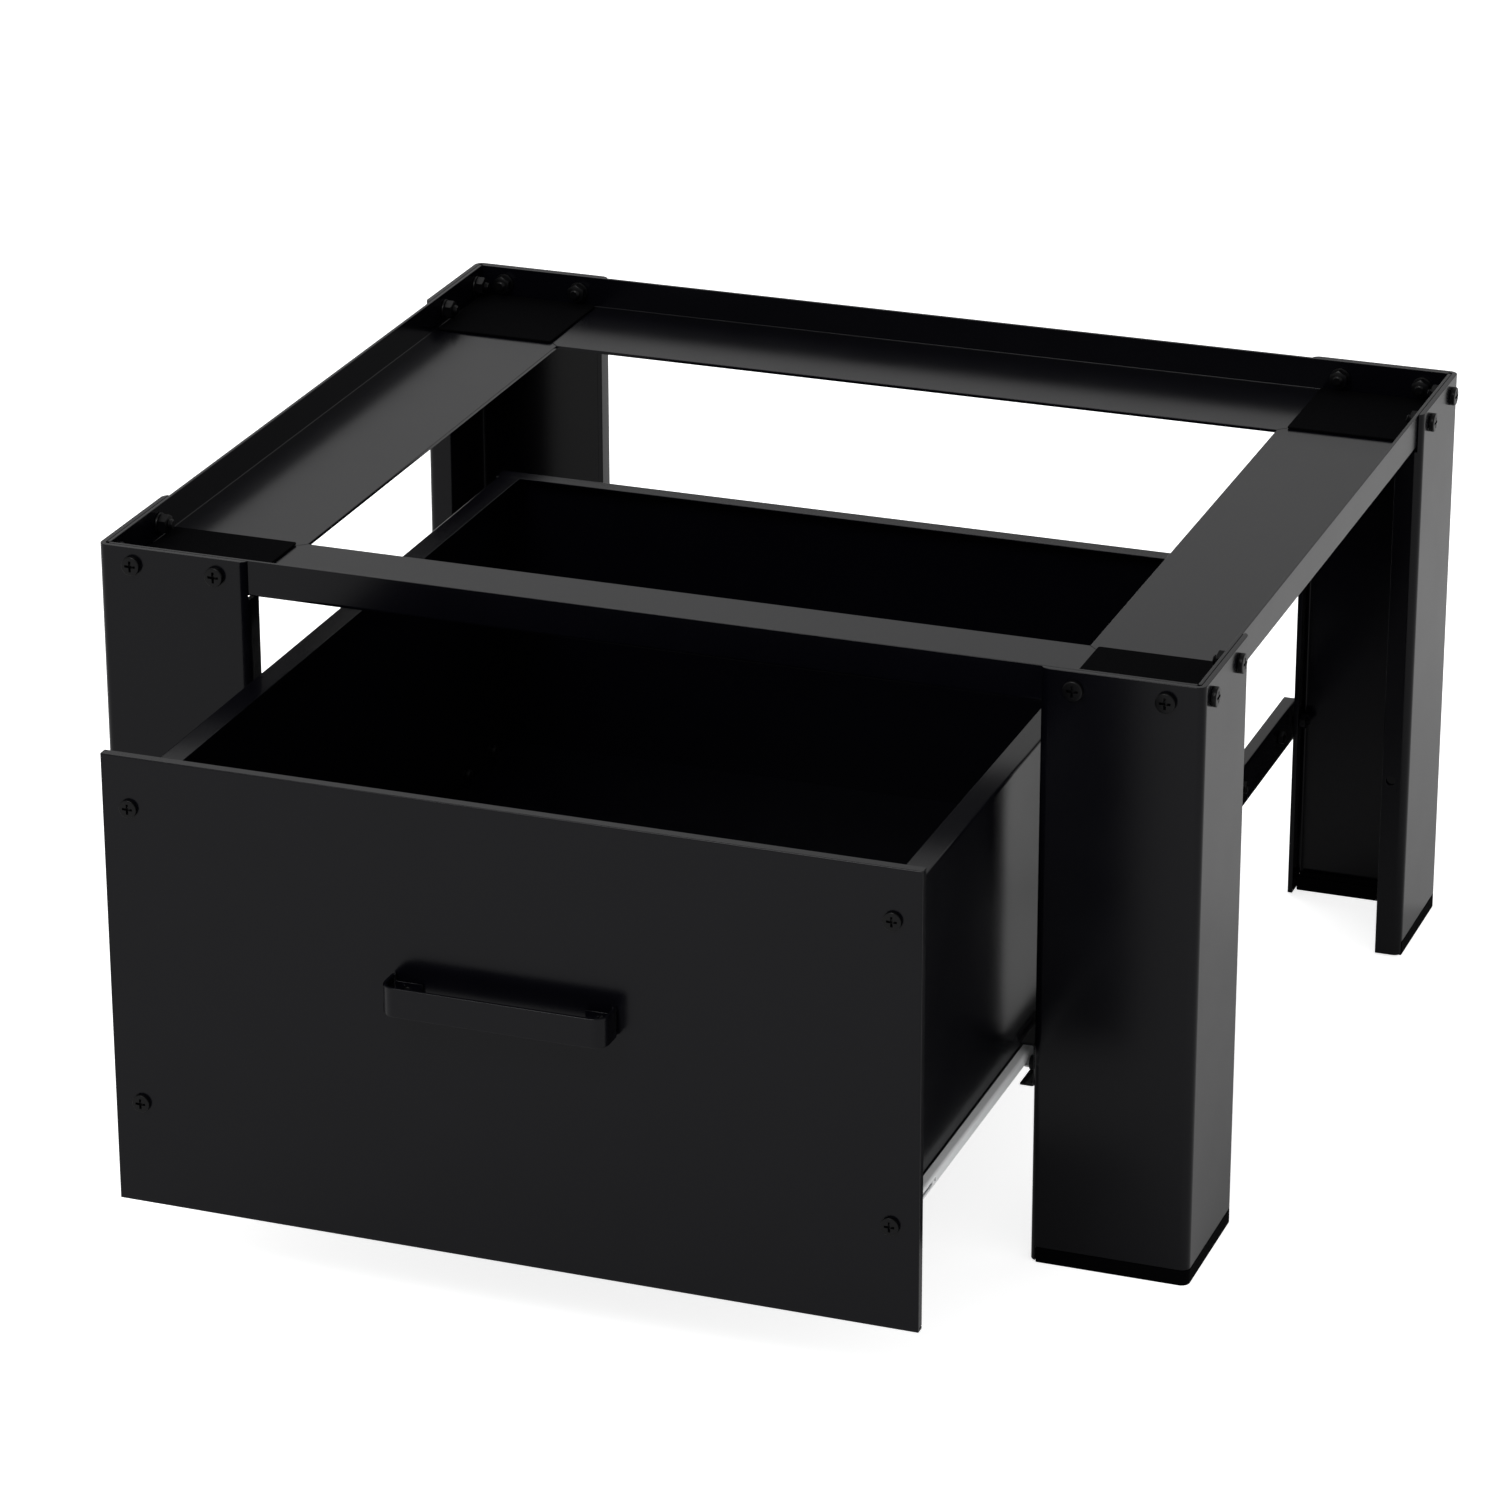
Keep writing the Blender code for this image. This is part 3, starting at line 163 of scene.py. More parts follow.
BALL_PITCH = 0.020
BALLS_IN_ROW = 6
BALL_LEVEL = 0.0054
BALL_INSET = 0.0019
BALL_STEPS = 16
BALL_POLE = 0.05
POCKET_SHARE = 0.9

# Steps round bends, turned shapes, nuts and pads, and rows in each turn of a thread
BEND_STEPS = 8
ROUND_STEPS = 40
SMALL_ROUND_STEPS = 24
NUT_STEPS = 48
PAD_STEPS = 5
THREAD_ROWS = 6
LEAST_THREAD_ROWS = 4

# Angles that count as sharp, and how wide the eased edges are
EASED_ANGLE = math.radians(38)
CRISP_ANGLE = math.radians(32)
EASED_SEGMENTS = 2
FLAT_WEIGHT = 100
EDGE = 0.00028
THIN_EDGE = 0.00018
CAGE_EDGE = 0.0001
PAD_EDGE = 0.0004
FOOT_EDGE = 0.0006
STOP_EDGE = 0.0008

# Share of the zinc shaded as bare metal; the rest scatters light as a pale solid does
ZINC_METAL = 0.1

# Studio
FLOOR_SPAN = 8.0
TENT_STRENGTH = 0.6
FLOOR_GLOW = 0.8
GLOSS_SHARE = 0.12

# Softboxes: place, point they look at, span and power
SOFTBOXES = {
    "rear_softbox": ((-1.2, 1.5, 2.4), (0, 0, 0), 1.6, 12.0),
    "front_softbox": ((-0.5, -2.2, 2.4), (0, -0.9, 0), 1.2, 46.0),
}

SIDES = {"left": -1.0, "right": 1.0}
ENDS = {"front": 1.0, "rear": -1.0}
CORNERS = [(side, end) for side in SIDES for end in ENDS]

# Numbers of a leg's bolts through its end plate and through its side plate
END_BOLTS = (1, 2)
SIDE_BOLTS = (3, 4)


# Materials

def linear(code):
    """Turn an sRGB hex colour into linear RGBA."""
    parts = [int(code[index:index + 2], 16) / 255 for index in (1, 3, 5)]
    return (*[part / 12.92 if part <= 0.04045 else ((part + 0.055) / 1.055) ** 2.4
              for part in parts], 1.0)


def add_node(tree, kind, settings=None, links=None):
    """Add a node, set its sockets or options, and link its inputs."""
    node = tree.nodes.new(kind)
    for name, value in (settings or {}).items():
        if isinstance(name, int) or name in node.inputs:
            node.inputs[name].default_value = value
        else:
            setattr(node, name, value)
    for name, source in (links or {}).items():
        tree.links.new(source, node.inputs[name])
    return node


def new_material(name, base, roughness, metallic=0.0, specular=0.5):
    """Start a material with its flat values and the places that its patterns are laid on."""
    material = bpy.data.materials.new(name)
    material.use_nodes = True
    material.diffuse_color = linear(base)
    tree = material.node_tree
    shader = tree.nodes["Principled BSDF"]
    shader.inputs["Base Color"].default_value = linear(base)
    shader.inputs["Roughness"].default_value = roughness
    shader.inputs["Metallic"].default_value = metallic
    shader.inputs["Specular IOR Level"].default_value = specular
    return material, tree, shader, add_node(tree, "ShaderNodeTexCoord").outputs["Object"]


def noise(tree, place, size, detail):
    """Cloudy pattern whose lumps are about the given size across."""
    return add_node(tree, "ShaderNodeTexNoise", {"Scale": 1 / size, "Detail": detail},
                    {"Vector": place}).outputs["Fac"]


def vary_tint(tree, shader, pattern, low, high):
    """Let a pattern shift the colour between two codes."""
    tint = add_node(tree, "ShaderNodeValToRGB", links={"Fac": pattern})
    tint.color_ramp.elements[0].color = linear(low)
    tint.color_ramp.elements[1].color = linear(high)
    tree.links.new(tint.outputs["Color"], shader.inputs["Base Color"])


def vary_gloss(tree, shader, pattern, low, high):
    """Let a pattern shift the roughness between two values."""
    gloss = add_node(tree, "ShaderNodeMapRange", {"To Min": low, "To Max": high},
                     {"Value": pattern})
    tree.links.new(gloss.outputs["Result"], shader.inputs["Roughness"])


def roughen(tree, shader, pattern, strength, depth):
    """Let a pattern raise and dent the surface."""
    bump = add_node(tree, "ShaderNodeBump", {"Strength": strength, "Distance": depth},
                    {"Height": pattern})
    tree.links.new(bump.outputs["Normal"], shader.inputs["Normal"])


def powder_coated_steel():
    """Black polyester powder, sprayed dry on cold-rolled sheet and baked.

    It melts into a satin skin with a faint orange peel, about 1.5 mm from crest to crest. Its
    carbon black drinks nearly all light, so what shows is a dim, slightly blurred reflection.
    """
    material, tree, shader, place = new_material(
        "black_powder_coat", "#040407", 0.21, specular=0.155)
    peel = noise(tree, place, size=0.0015, detail=2.0)
    cloud = noise(tree, place, size=0.035, detail=3.0)
    vary_tint(tree, shader, cloud, "#030306", "#050509")
    vary_gloss(tree, shader, cloud, low=0.18, high=0.24)
    roughen(tree, shader, peel, strength=0.12, depth=0.0001)
    return material


def blackened_screw_steel():
    """Low-carbon steel, cold-headed and rolled, with a black electrophoretic lacquer.

    The film dries to a satin black, so flats stay as dark as the frame while rounded edges pick
    up small soft glints.
    """
    material, tree, shader, place = new_material(
        "black_lacquered_screw", "#050506", 0.3, specular=0.14)
    grain = noise(tree, place, size=0.0006, detail=3.0)
    vary_gloss(tree, shader, grain, low=0.26, high=0.34)
    roughen(tree, shader, grain, strength=0.10, depth=0.00005)
    return material


def zinc_plated_steel(name, base, patch, low_gloss, high_gloss):
    """Cold-rolled strip, roll-formed along its length and bright zinc plated.

    Fine drawing lines run along the runner, about 0.15 mm apart, drawn here at 0.5 mm so that
    they show. The photographed plating reads almost white. Shaded wholly as metal it would mirror
    the dark leg beside it, so most of it scatters light here, as a pale grey with faint cloudy
    patches and only a weak, soft reflection.
    """
    material, tree, shader, place = new_material(name, base, 0.4, metallic=ZINC_METAL)
    along = add_node(tree, "ShaderNodeMapping", {"Scale": (1 / 0.0005, 1 / 0.04, 1 / 0.0005)},
                     {"Vector": place}).outputs["Vector"]
    lines = noise(tree, along, size=1.0, detail=3.0)
    cloud = noise(tree, place, size=0.012, detail=4.0)
    tint = add_node(
        tree, "ShaderNodeMix", {"data_type": "RGBA", 6: linear(base), 7: linear(patch)},
        {"Factor": cloud})
    tree.links.new(tint.outputs[2], shader.inputs["Base Color"])
    vary_gloss(tree, shader, lines, low=low_gloss, high=high_gloss)
    roughen(tree, shader, lines, strength=0.15, depth=0.00003)
    return material


def rubber_pad():
    """Black EVA foam rubber, cut from sheet with its skin left on.

    A fine pebble grain, about 0.8 mm across, scatters light so well that the pads read as the
    deepest black on the frame.
    """
    material, tree, shader, place = new_material(
        "black_rubber_pad", "#030304", 0.95, specular=0.02)
    pebble = add_node(tree, "ShaderNodeTexVoronoi", {"Scale": 1 / 0.0008},
                      {"Vector": place}).outputs["Distance"]
    vary_tint(tree, shader, pebble, "#020203", "#050506")
    roughen(tree, shader, pebble, strength=0.35, depth=0.0002)
    return material


def moulded_foot_plastic():
    """Black polypropylene, injection moulded in a spark-eroded tool.

    The tool leaves a fine, even matt grain of about 0.4 mm, so the foot strips look flat black
    with only a breath of sheen along their rounded edges.
    """
    material, tree, shader, place = new_material(
        "black_moulded_foot", "#030304", 0.8, specular=0.02)
    spark = noise(tree, place, size=0.0004, detail=4.0)
    vary_gloss(tree, shader, spark, low=0.74, high=0.86)
    roughen(tree, shader, spark, strength=0.25, depth=0.0001)
    return material


FINISHES = {
    "powder_coat": powder_coated_steel(),
    "black_bolt": blackened_screw_steel(),
    "zinc_plate": zinc_plated_steel("bright_zinc_runner", "#fbfcfd", "#f2f4f5", 0.40, 0.55),
    "cage_steel": zinc_plated_steel("pressed_steel_cage", "#c4c7c8", "#b3b8bb", 0.36, 0.50),
    "pad_rubber": rubber_pad(),
    "foot_plastic": moulded_foot_plastic(),
}


# Shapes

def rounded(points, steps=BEND_STEPS):
    """Closed outline from (a, b, radius) corners, with an arc wherever a radius is given."""
    outline = []
    for index, (a, b, radius) in enumerate(points):
        here = Vector((a, b))
        if radius <= 0:
            outline.append(here)
            continue
        before = (Vector(points[index - 1][:2]) - here).normalized()
        after = (Vector(points[(index + 1) % len(points)][:2]) - here).normalized()
        half = before.angle(after) / 2
        middle = here + (before + after).normalized() * radius / math.sin(half)
        start = here + before * radius / math.tan(half) - middle
        sweep = start.angle_signed(here + after * radius / math.tan(half) - middle)
        for step in range(steps + 1):
            turn = -sweep * step / steps
            cosine, sine = math.cos(turn), math.sin(turn)
            spoke = (start.x * cosine - start.y * sine, start.x * sine + start.y * cosine)
            outline.append(middle + Vector(spoke))
    return outline


def folded(corners, sheet):
    """Pairs of outside and inside points along a sheet bent round (a, b, inside radius) corners."""
    points = [Vector(corner[:2]) for corner in corners]
    first, last = (points[1] - points[0]).normalized(), (points[-1] - points[-2]).normalized()
    side = math.copysign(sheet, first.cross(points[2] - points[1]))
    pairs = [(points[0], points[0] + Vector((-first.y, first.x)) * side)]
    for index in range(1, len(points) - 1):
        here, radius = points[index], corners[index][2]
        before = (points[index - 1] - here).normalized()
        after = (points[index + 1] - here).normalized()
        half = before.angle(after) / 2
        middle = here + (before + after).normalized() * (radius + sheet) / math.sin(half)
        start = (here + before * (radius + sheet) / math.tan(half) - middle).normalized()
        sweep = math.copysign(math.pi - 2 * half, side)
        for step in range(BEND_STEPS + 1):
            turn = sweep * step / BEND_STEPS
            spoke = Vector((start.x * math.cos(turn) - start.y * math.sin(turn),
                            start.x * math.sin(turn) + start.y * math.cos(turn)))
            pairs.append((middle + spoke * (radius + sheet), middle + spoke * radius))
    pairs.append((points[-1], points[-1] + Vector((-last.y, last.x)) * side))
    return pairs


def rectangle(low_a, low_b, high_a, high_b):
    """Outline of a plain rectangle."""
    return [Vector(pair) for pair in (
        (low_a, low_b), (high_a, low_b), (high_a, high_b), (low_a, high_b))]


def circle(radius, steps=ROUND_STEPS):
    """Points round a circle about the origin."""
    angles = [2 * math.pi * step / steps for step in range(steps)]
    return [Vector((radius * math.cos(angle), radius * math.sin(angle))) for angle in angles]


def facing(axis, origin=(0, 0, 0), sign=1.0, mirror=1.0):
    """Placement of (a, b, height) points whose height runs along an axis."""
    along = "XYZ".index(axis)
    first, second = [index for index in range(3) if index != along]

    def place(a, b, height):
        point = Vector(origin)
        point[first] += mirror * a
        point[second] += b
        point[along] += sign * height
        return point

    return place


def add_prism(bm, outline, low, high, place):
    """Add a straight solid whose ends are heights, or functions that give them."""
    def loop_at(height):
        levels = [height(*point) if callable(height) else height for point in outline]
        return [bm.verts.new(place(*point, level)) for point, level in zip(outline, levels)]

    lower, upper = loop_at(low), loop_at(high)
    bm.faces.new(lower)
    bm.faces.new(list(reversed(upper)))
    for index in range(len(outline)):
        after = (index + 1) % len(outline)
        bm.faces.new((lower[index], upper[index], upper[after], lower[after]))


def add_folded(bm, corners, sheet, low, high, place):
    """Add a bent sheet whose cut ends are heights, or functions that give them."""
    def line_at(side, height):
        levels = [height(*pair[side]) if callable(height) else height for pair in pairs]
        return [bm.verts.new(place(*pair[side], level)) for pair, level in zip(pairs, levels)]

    pairs = folded(corners, sheet)
    sides = [line_at(0, low), line_at(0, high), line_at(1, high), line_at(1, low)]
    for first, second in zip(sides, sides[1:] + sides[:1]):
        for index in range(len(pairs) - 1):
            bm.faces.new((first[index], first[index + 1], second[index + 1], second[index]))
    for index in (0, -1):
        bm.faces.new([line[index] for line in sides])


def add_rings(bm, rings, place):
    """Join rings of (a, b, height) points into a closed skin with a face on each end."""
    rings = [[bm.verts.new(place(*point)) for point in ring] for ring in rings]
    bm.faces.new(rings[0])
    bm.faces.new(list(reversed(rings[-1])))
    for first, second in zip(rings, rings[1:]):
        for index in range(len(first)):
            after = (index + 1) % len(first)
            bm.faces.new((first[index], second[index], second[after], first[after]))


def add_turned(bm, profile, place, steps=ROUND_STEPS):
    """Add a solid of revolution from (radius, height) pairs."""
    add_rings(bm, [[(*point, height) for point in circle(radius, steps)]
                   for radius, height in profile], place)


def add_drill(bm, radius, sheet, place):
    """Add the round cutter of a hole through a sheet that starts at height 0."""
    add_prism(bm, circle(radius), -OVER, sheet + OVER, place)


def add_pan_head(bm, radius, height, place, foot=0.0):
    """Add a pan head: a straight rim, a small rolled shoulder and a nearly flat crown."""
    roll = height * HEAD_ROLL_SHARE
    rim = height * HEAD_CROWN_SHARE - roll
    profile = [(radius, foot), (radius, rim)]
    for step in range(1, BEND_STEPS + 1):
        turn = math.pi / 2 * step / BEND_STEPS
        profile.append((radius - roll * (1 - math.cos(turn)), rim + roll * math.sin(turn)))
    profile += [(radius * across, height * up) for across, up in HEAD_CROWN]
    add_turned(bm, profile, place)


def add_cross_cutter(bm, radius, height, place):
    """Add the tapering cross that a driver bit fits."""
    rings = []
    for level, share in zip((height * CROSS_FLOOR_SHARE, height + OVER), CROSS_TAPER):
        arm, width = radius * CROSS_ARM_SHARE * share, radius * CROSS_WIDTH_SHARE * share ** 0.5
        quarter = [Vector(pair) for pair in ((arm, -width), (arm, width), (width, width))]
        ring = []
        for _ in range(4):
            ring += [(*point, level) for point in quarter]
            quarter = [Vector((-point.y, point.x)) for point in quarter]
        rings.append(ring)
    add_rings(bm, rings, place)


def add_thread(bm, radius, pitch, start, end, place):
    """Add a threaded shank that runs from start down to end, its helix one pitch a turn."""
    depth, steps = pitch * THREAD_DEPTH_SHARE, SMALL_ROUND_STEPS
    count = max(LEAST_THREAD_ROWS, round((start - end) / pitch * THREAD_ROWS))
    rings = []
    for row in range(count + 1):
        height = start + (end - start) * row / count
        tip = min(1.0, (height - end) / pitch + THREAD_POINT_SHARE)
        point = 1 - THREAD_POINT_SHARE + THREAD_POINT_SHARE * tip
        ring = []
        for step in range(steps):
            phase = (height / pitch + step / steps) % 1.0
            ridge = 1 - abs(2 * phase - 1)
            spread = (radius - depth * (1 - ridge)) * point
            angle = 2 * math.pi * step / steps
            ring.append((spread * math.cos(angle), spread * math.sin(angle), height))
        rings.append(ring)
    add_rings(bm, rings, place)


def add_nut(bm, across, low, high, place):
    """Add a hexagon nut whose corners are turned off at both faces."""
    flat, steps = across / 2, NUT_STEPS
    drop = math.tan(NUT_CHAMFER)

    def corner(step):
        turn = (2 * math.pi * step / steps) % (math.pi / 3) - math.pi / 6
        return flat / math.cos(turn)

    rings = []
    for level, inward in ((low, 1.0), (high, -1.0)):
        flats, turned = [], []
        for step in range(steps):
            angle = 2 * math.pi * step / steps + math.pi / 6
            spoke = Vector((math.cos(angle), math.sin(angle)))
            spread = corner(step)
            turned.append((*(spoke * flat * NUT_FACE_SHARE), level))
            fall = inward * (spread - flat * NUT_FACE_SHARE) * drop
            flats.append((*(spoke * spread), level + fall))
        rings += [turned, flats] if inward > 0 else [flats, turned]
    add_rings(bm, rings, place)


def add_washer(bm, radius, low, high, place):
    """Add a stamped washer with one rolled edge."""
    roll = (high - low) * WASHER_ROLL_SHARE
    cut = roll * WASHER_CUT_SHARE
    add_turned(bm, [(radius - roll, low), (radius - cut, low + cut), (radius, low + roll),
                    (radius, high)], place)


# Pieces

def add_object(name, data):
    """Put a new object in the scene."""
    thing = bpy.data.objects.new(name, data)
    bpy.context.scene.collection.objects.link(thing)
    return thing


def skin(name, bm, finish):
    """Turn a bmesh into a smooth-shaded object with its material."""
    bmesh.ops.recalc_face_normals(bm, faces=bm.faces[:])
    mesh = bpy.data.meshes.new(name)
    bm.to_mesh(mesh)
    bm.free()
    mesh.shade_smooth()
    mesh.materials.append(FINISHES[finish])
    return add_object(name, mesh)


def fold(name, finish, corners, sheet, low, high, place):
    """Make a piece of bent sheet."""
    bm = bmesh.new()
    add_folded(bm, corners, sheet, low, high, place)
    return skin(name, bm, finish)


def combine(thing, bm, operation="DIFFERENCE"):
    """Cut a shape from a piece, or join it on, and keep the result as the piece's own mesh."""
    finish = next(key for key, value in FINISHES.items() if value == thing.data.materials[0])
    tool = skin(f"{thing.name}_tool", bm, finish)
    change = thing.modifiers.new("Combine", "BOOLEAN")
    change.operation = operation
    change.solver = "EXACT"
    change.object = tool
    graph = bpy.context.evaluated_depsgraph_get()
    mesh = bpy.data.meshes.new_from_object(thing.evaluated_get(graph))
    thing.modifiers.clear()
    thing.data = mesh
    bpy.data.objects.remove(tool, do_unlink=True)


def ease(thing, width):
    """Round a piece's sharp edges over and keep its flat faces flat."""
    rounding = thing.modifiers.new("Eased edges", "BEVEL")
    rounding.width = width
    rounding.segments = EASED_SEGMENTS
    rounding.limit_method = "ANGLE"
    rounding.angle_limit = EASED_ANGLE
    rounding.use_clamp_overlap = False
    flatten = thing.modifiers.new("Flat faces", "WEIGHTED_NORMAL")
    flatten.mode = "FACE_AREA"
    flatten.weight = FLAT_WEIGHT
    return rounding


def weigh_edges(mesh, wanted):
    """Mark the sharp edges to ease: those whose middle is wanted."""
    bm = bmesh.new()
    bm.from_mesh(mesh)
    weight = bm.edges.layers.float.new("bevel_weight_edge")
    for edge in bm.edges:
        sharp = edge.calc_face_angle(0) > EASED_ANGLE
        middle = (edge.verts[0].co + edge.verts[1].co) / 2
        edge[weight] = 1.0 if sharp and wanted(middle) else 0.0
    bm.to_mesh(mesh)
    bm.free()


def settle(thing, body, nodes=(), edge=EDGE):
    """Ease a piece's edges, then let it ride on its body in place of its solids."""
    if edge:
        ease(thing, edge)
    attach(thing, body)
    if nodes:
        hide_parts(*nodes)
    return thing


def crisp(thing):
    """Keep the sharp edges of turned and hexagonal shapes sharp."""
    split = thing.modifiers.new("Crisp edges", "EDGE_SPLIT")
    split.split_angle = CRISP_ANGLE


def middle_of(node):
    """Middle of a solid's box."""
    return sum(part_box(node), Vector()) / 2


def from_corner(side, end):
    """Placement of plan points measured inwards from a leg's outer corner."""
    low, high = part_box(f"leg_{end}_{side}")
    corner = Vector((high.x if side == "right" else low.x, low.y if end == "front" else high.y, 0))

    def place(inward, along, height):
        return corner + Vector((-SIDES[side] * inward, ENDS[end] * along, height))

    return place


def fastener_place(node, outward, head_height):
    """Seat of a fastener's head, from its solid's box and the direction its head looks."""
    low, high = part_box(node)
    seat = (low + high) / 2
    axis = max(range(3), key=lambda index: abs(outward[index]))
    seat[axis] = (high if outward[axis] > 0 else low)[axis] - outward[axis] * head_height
    return seat


def bolt_mesh(name, kind, grip, tail, washer=None):
    """Make a bolt with its nut: the head's seat at height 0 and the shank down along -Z."""
    radius, pitch = kind["thread"]
    head = bmesh.new()
    add_pan_head(head, *kind["head"], facing("Z"))
    bolt = skin(name, head, "black_bolt")
    cross = bmesh.new()
    add_cross_cutter(cross, *kind["head"], facing("Z"))
    combine(bolt, cross)
    rest = bmesh.new()
    nut_top = -grip - (washer[1] if washer else 0)
    end = nut_top - (kind["nut"][1] if kind["nut"] else 0) - tail
    add_thread(rest, radius, pitch, THREAD_TOP, end, facing("Z"))
    if washer:
        add_washer(rest, washer[0], nut_top, -grip, facing("Z"))
    if kind["nut"]:
        add_nut(rest, kind["nut"][0], nut_top - kind["nut"][1], nut_top, facing("Z"))
    bmesh.ops.recalc_face_normals(rest, faces=rest.faces[:])
    rest.from_mesh(bolt.data)
    rest.to_mesh(bolt.data)
    rest.free()
    bolt.data.shade_smooth()
    mesh = bolt.data
    bpy.data.objects.remove(bolt, do_unlink=True)
    return mesh


def set_fastener(node, mesh, outward, head_height, body):
    """Put a bolt's mesh where its solid is."""
    thing = add_object(f"{node}_steel", mesh)
    thing.location = fastener_place(node, Vector(outward), head_height)
    thing.rotation_euler = Vector(outward).to_track_quat("Z", "Y").to_euler()
    settle(thing, body, (node,), edge=0)
    crisp(thing)


def leg(side, end):
    """Fold a leg: end plate, side plate and a return flange along each, with its holes."""
    name = f"leg_{end}_{side}"
    low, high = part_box(name)
    width, depth, top = high.x - low.x, high.y - low.y, high.z
    place = from_corner(side, end)
    sheet, lip, bend, outer = LEG_SHEET, LEG_RETURN, LEG_BEND, LEG_BEND + LEG_SHEET
    corners = ((width, lip, 0), (width, 0, bend), (0, 0, bend), (0, depth, bend), (lip, depth, 0))
    thing = fold(f"{name}_metal", "powder_coat", corners, sheet, low.z, top, place)
    cuts = bmesh.new()
    add_prism(cuts, rectangle(-OVER, -OVER, width - sheet - TOUCH, depth - sheet - TOUCH),
              -OVER, LEG_FLOOR, place)
    for notch in (rectangle(width - outer, sheet, width + OVER, lip + OVER),
                  rectangle(sheet, depth - outer, lip + OVER, depth + OVER)):
        add_prism(cuts, notch, LEG_RETURN_TOP, top + OVER, place)
    combine(thing, cuts)
    holes = bmesh.new()
    for number in END_BOLTS + SIDE_BOLTS:
        middle = middle_of(f"leg_bolt_{end}_{side}_{number}")
        if number in END_BOLTS:
            middle.y = place(0, 0, 0).y
            add_drill(holes, FRAME_BORE, sheet, facing("Y", middle, ENDS[end]))
        else:
            middle.x = place(0, 0, 0).x
            add_drill(holes, FRAME_BORE, sheet, facing("X", middle, -SIDES[side]))
    middle = middle_of(f"support_bolt_{end}_{side}")
    inset = abs(middle.y - place(0, 0, 0).y)
    add_drill(holes, SUPPORT_BORE, sheet,
              facing("X", place(width - sheet, inset, middle.z), -SIDES[side]))
    add_drill(holes, SUPPORT_BORE, sheet,
              facing("Y", place(inset, depth - sheet, middle.z), ENDS[end]))
    combine(thing, holes)
    settle(thing, "frame", (name,))


def foot(side, end):
    """Mould a foot strip: a base under both plates, rounded below, with a lip behind them."""
    name = f"foot_{end}_{side}"
    low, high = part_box(name)
    across, along = high.x - low.x, high.y - low.y
    place = from_corner(side, end)
    wide, corner = FOOT_WIDTH, LEG_BEND + LEG_SHEET
    bm = bmesh.new()
    add_prism(bm, rounded((
        (across, 0, 0), (0, 0, corner), (0, along, 0), (wide, along, 0), (wide, wide, 0),
        (across, wide, 0))), 0, FOOT_HEIGHT, place)
    thing = skin(f"{name}_plastic", bm, "foot_plastic")
    lip = bmesh.new()
    front, back = LEG_SHEET + TOUCH, LEG_SHEET + TOUCH + FOOT_LIP
    far_across, far_along = across - LEG_BEND - TOUCH, along - LEG_BEND - TOUCH
    outline = rounded((
        (far_across, front, 0), (front, front, LEG_BEND), (front, far_along, 0),
        (back, far_along, 0), (back, back, 0), (far_across, back, 0)))
    add_prism(lip, outline, FOOT_HEIGHT / 2, FOOT_LIP_TOP, place)
    combine(thing, lip, "UNION")
    settle(thing, "frame", (name,), edge=FOOT_EDGE)


def rail(name):
    """Fold a rail, mitre its ends, drill its bolt holes and trim it clear of the legs' bends."""
    low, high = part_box(f"rail_{name}")
    first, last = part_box("leg_front_left")[0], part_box("leg_rear_right")[1]
    lengthways, crossways = (0, 1) if name in ENDS else (1, 0)
    other_low, other_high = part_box("rail_left" if name in ENDS else "rail_front")
    shelf = high[crossways] - low[crossways]
    slope = (other_high - other_low)[lengthways] / shelf
    sign = 1.0 if name in ("front", "left") else -1.0
    outside = (first if sign > 0 else last)[crossways]

    def place(inward, height, length):
        point = Vector((0, 0, height))
        point[crossways] = outside + sign * inward
        point[lengthways] = length
        return point

    def gap(inward):
        return RAIL_FACE + MITRE + (inward - RAIL_FACE) * slope

    corners = ((RAIL_FACE, high.z, 0), (RAIL_FACE, low.z, RAIL_BEND), (RAIL_FACE + shelf, low.z, 0))
    thing = fold(f"rail_{name}_metal", "powder_coat", corners, RAIL_SHEET,
                 lambda a, b: first[lengthways] + gap(a),
                 lambda a, b: last[lengthways] - gap(a), place)
    cuts = bmesh.new()
    for side, end in [corner for corner in CORNERS if name in corner]:
        add_prism(cuts, rectangle(0, 0, RAIL_CORNER_CUT, RAIL_CORNER_CUT),
                  low.z - OVER, high.z + OVER, from_corner(side, end))
        for number in (END_BOLTS if name in ENDS else SIDE_BOLTS):
            middle = middle_of(f"leg_bolt_{end}_{side}_{number}")
            middle[crossways] = outside + sign * RAIL_FACE
            add_drill(cuts, FRAME_BORE, RAIL_SHEET, facing("XYZ"[crossways], middle, sign))
    combine(thing, cuts)
    settle(thing, "frame", (f"rail_{name}",))


def pad(side, end):
    """Lay a pad on a shelf corner, its corners and upper edge a little rounded."""
    name = f"pad_{end}_{side}"
    low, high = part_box(name)
    bm = bmesh.new()
    square = rectangle(low.x, low.y, high.x, high.y)
    outline = rounded([(*point, PAD_CORNER) for point in square], PAD_STEPS)
    add_prism(bm, outline, low.z, high.z, facing("Z"))
    thing = skin(f"{name}_rubber", bm, "pad_rubber")
    settle(thing, "frame", (name,), edge=PAD_EDGE)


def channel(face, mouth, level, half_height, bend, sheet, lip=0):
    """Corners of a channel with its web outwards at face and its mouth inwards.

    A lip above zero turns the mouth's edges towards each other.
    """
    low, high = level - half_height, level + half_height
    upper = [(mouth, high, bend), (face, high, bend)]
    lower = [(face, low, bend), (mouth, low, bend)]
    if lip:
        return [(mouth, high - sheet - lip, 0), *upper, *lower, (mouth, low + sheet + lip, 0)]
    return upper + lower


def section(side):
    """Placement of (outward, up) section points whose height runs along Y."""
    return facing("Y", mirror=SIDES[side])


def reach(side, node):
    """Inner and outer distance of a solid's box from the middle plane."""
    low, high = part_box(node)
    return sorted((SIDES[side] * low.x, SIDES[side] * high.x))


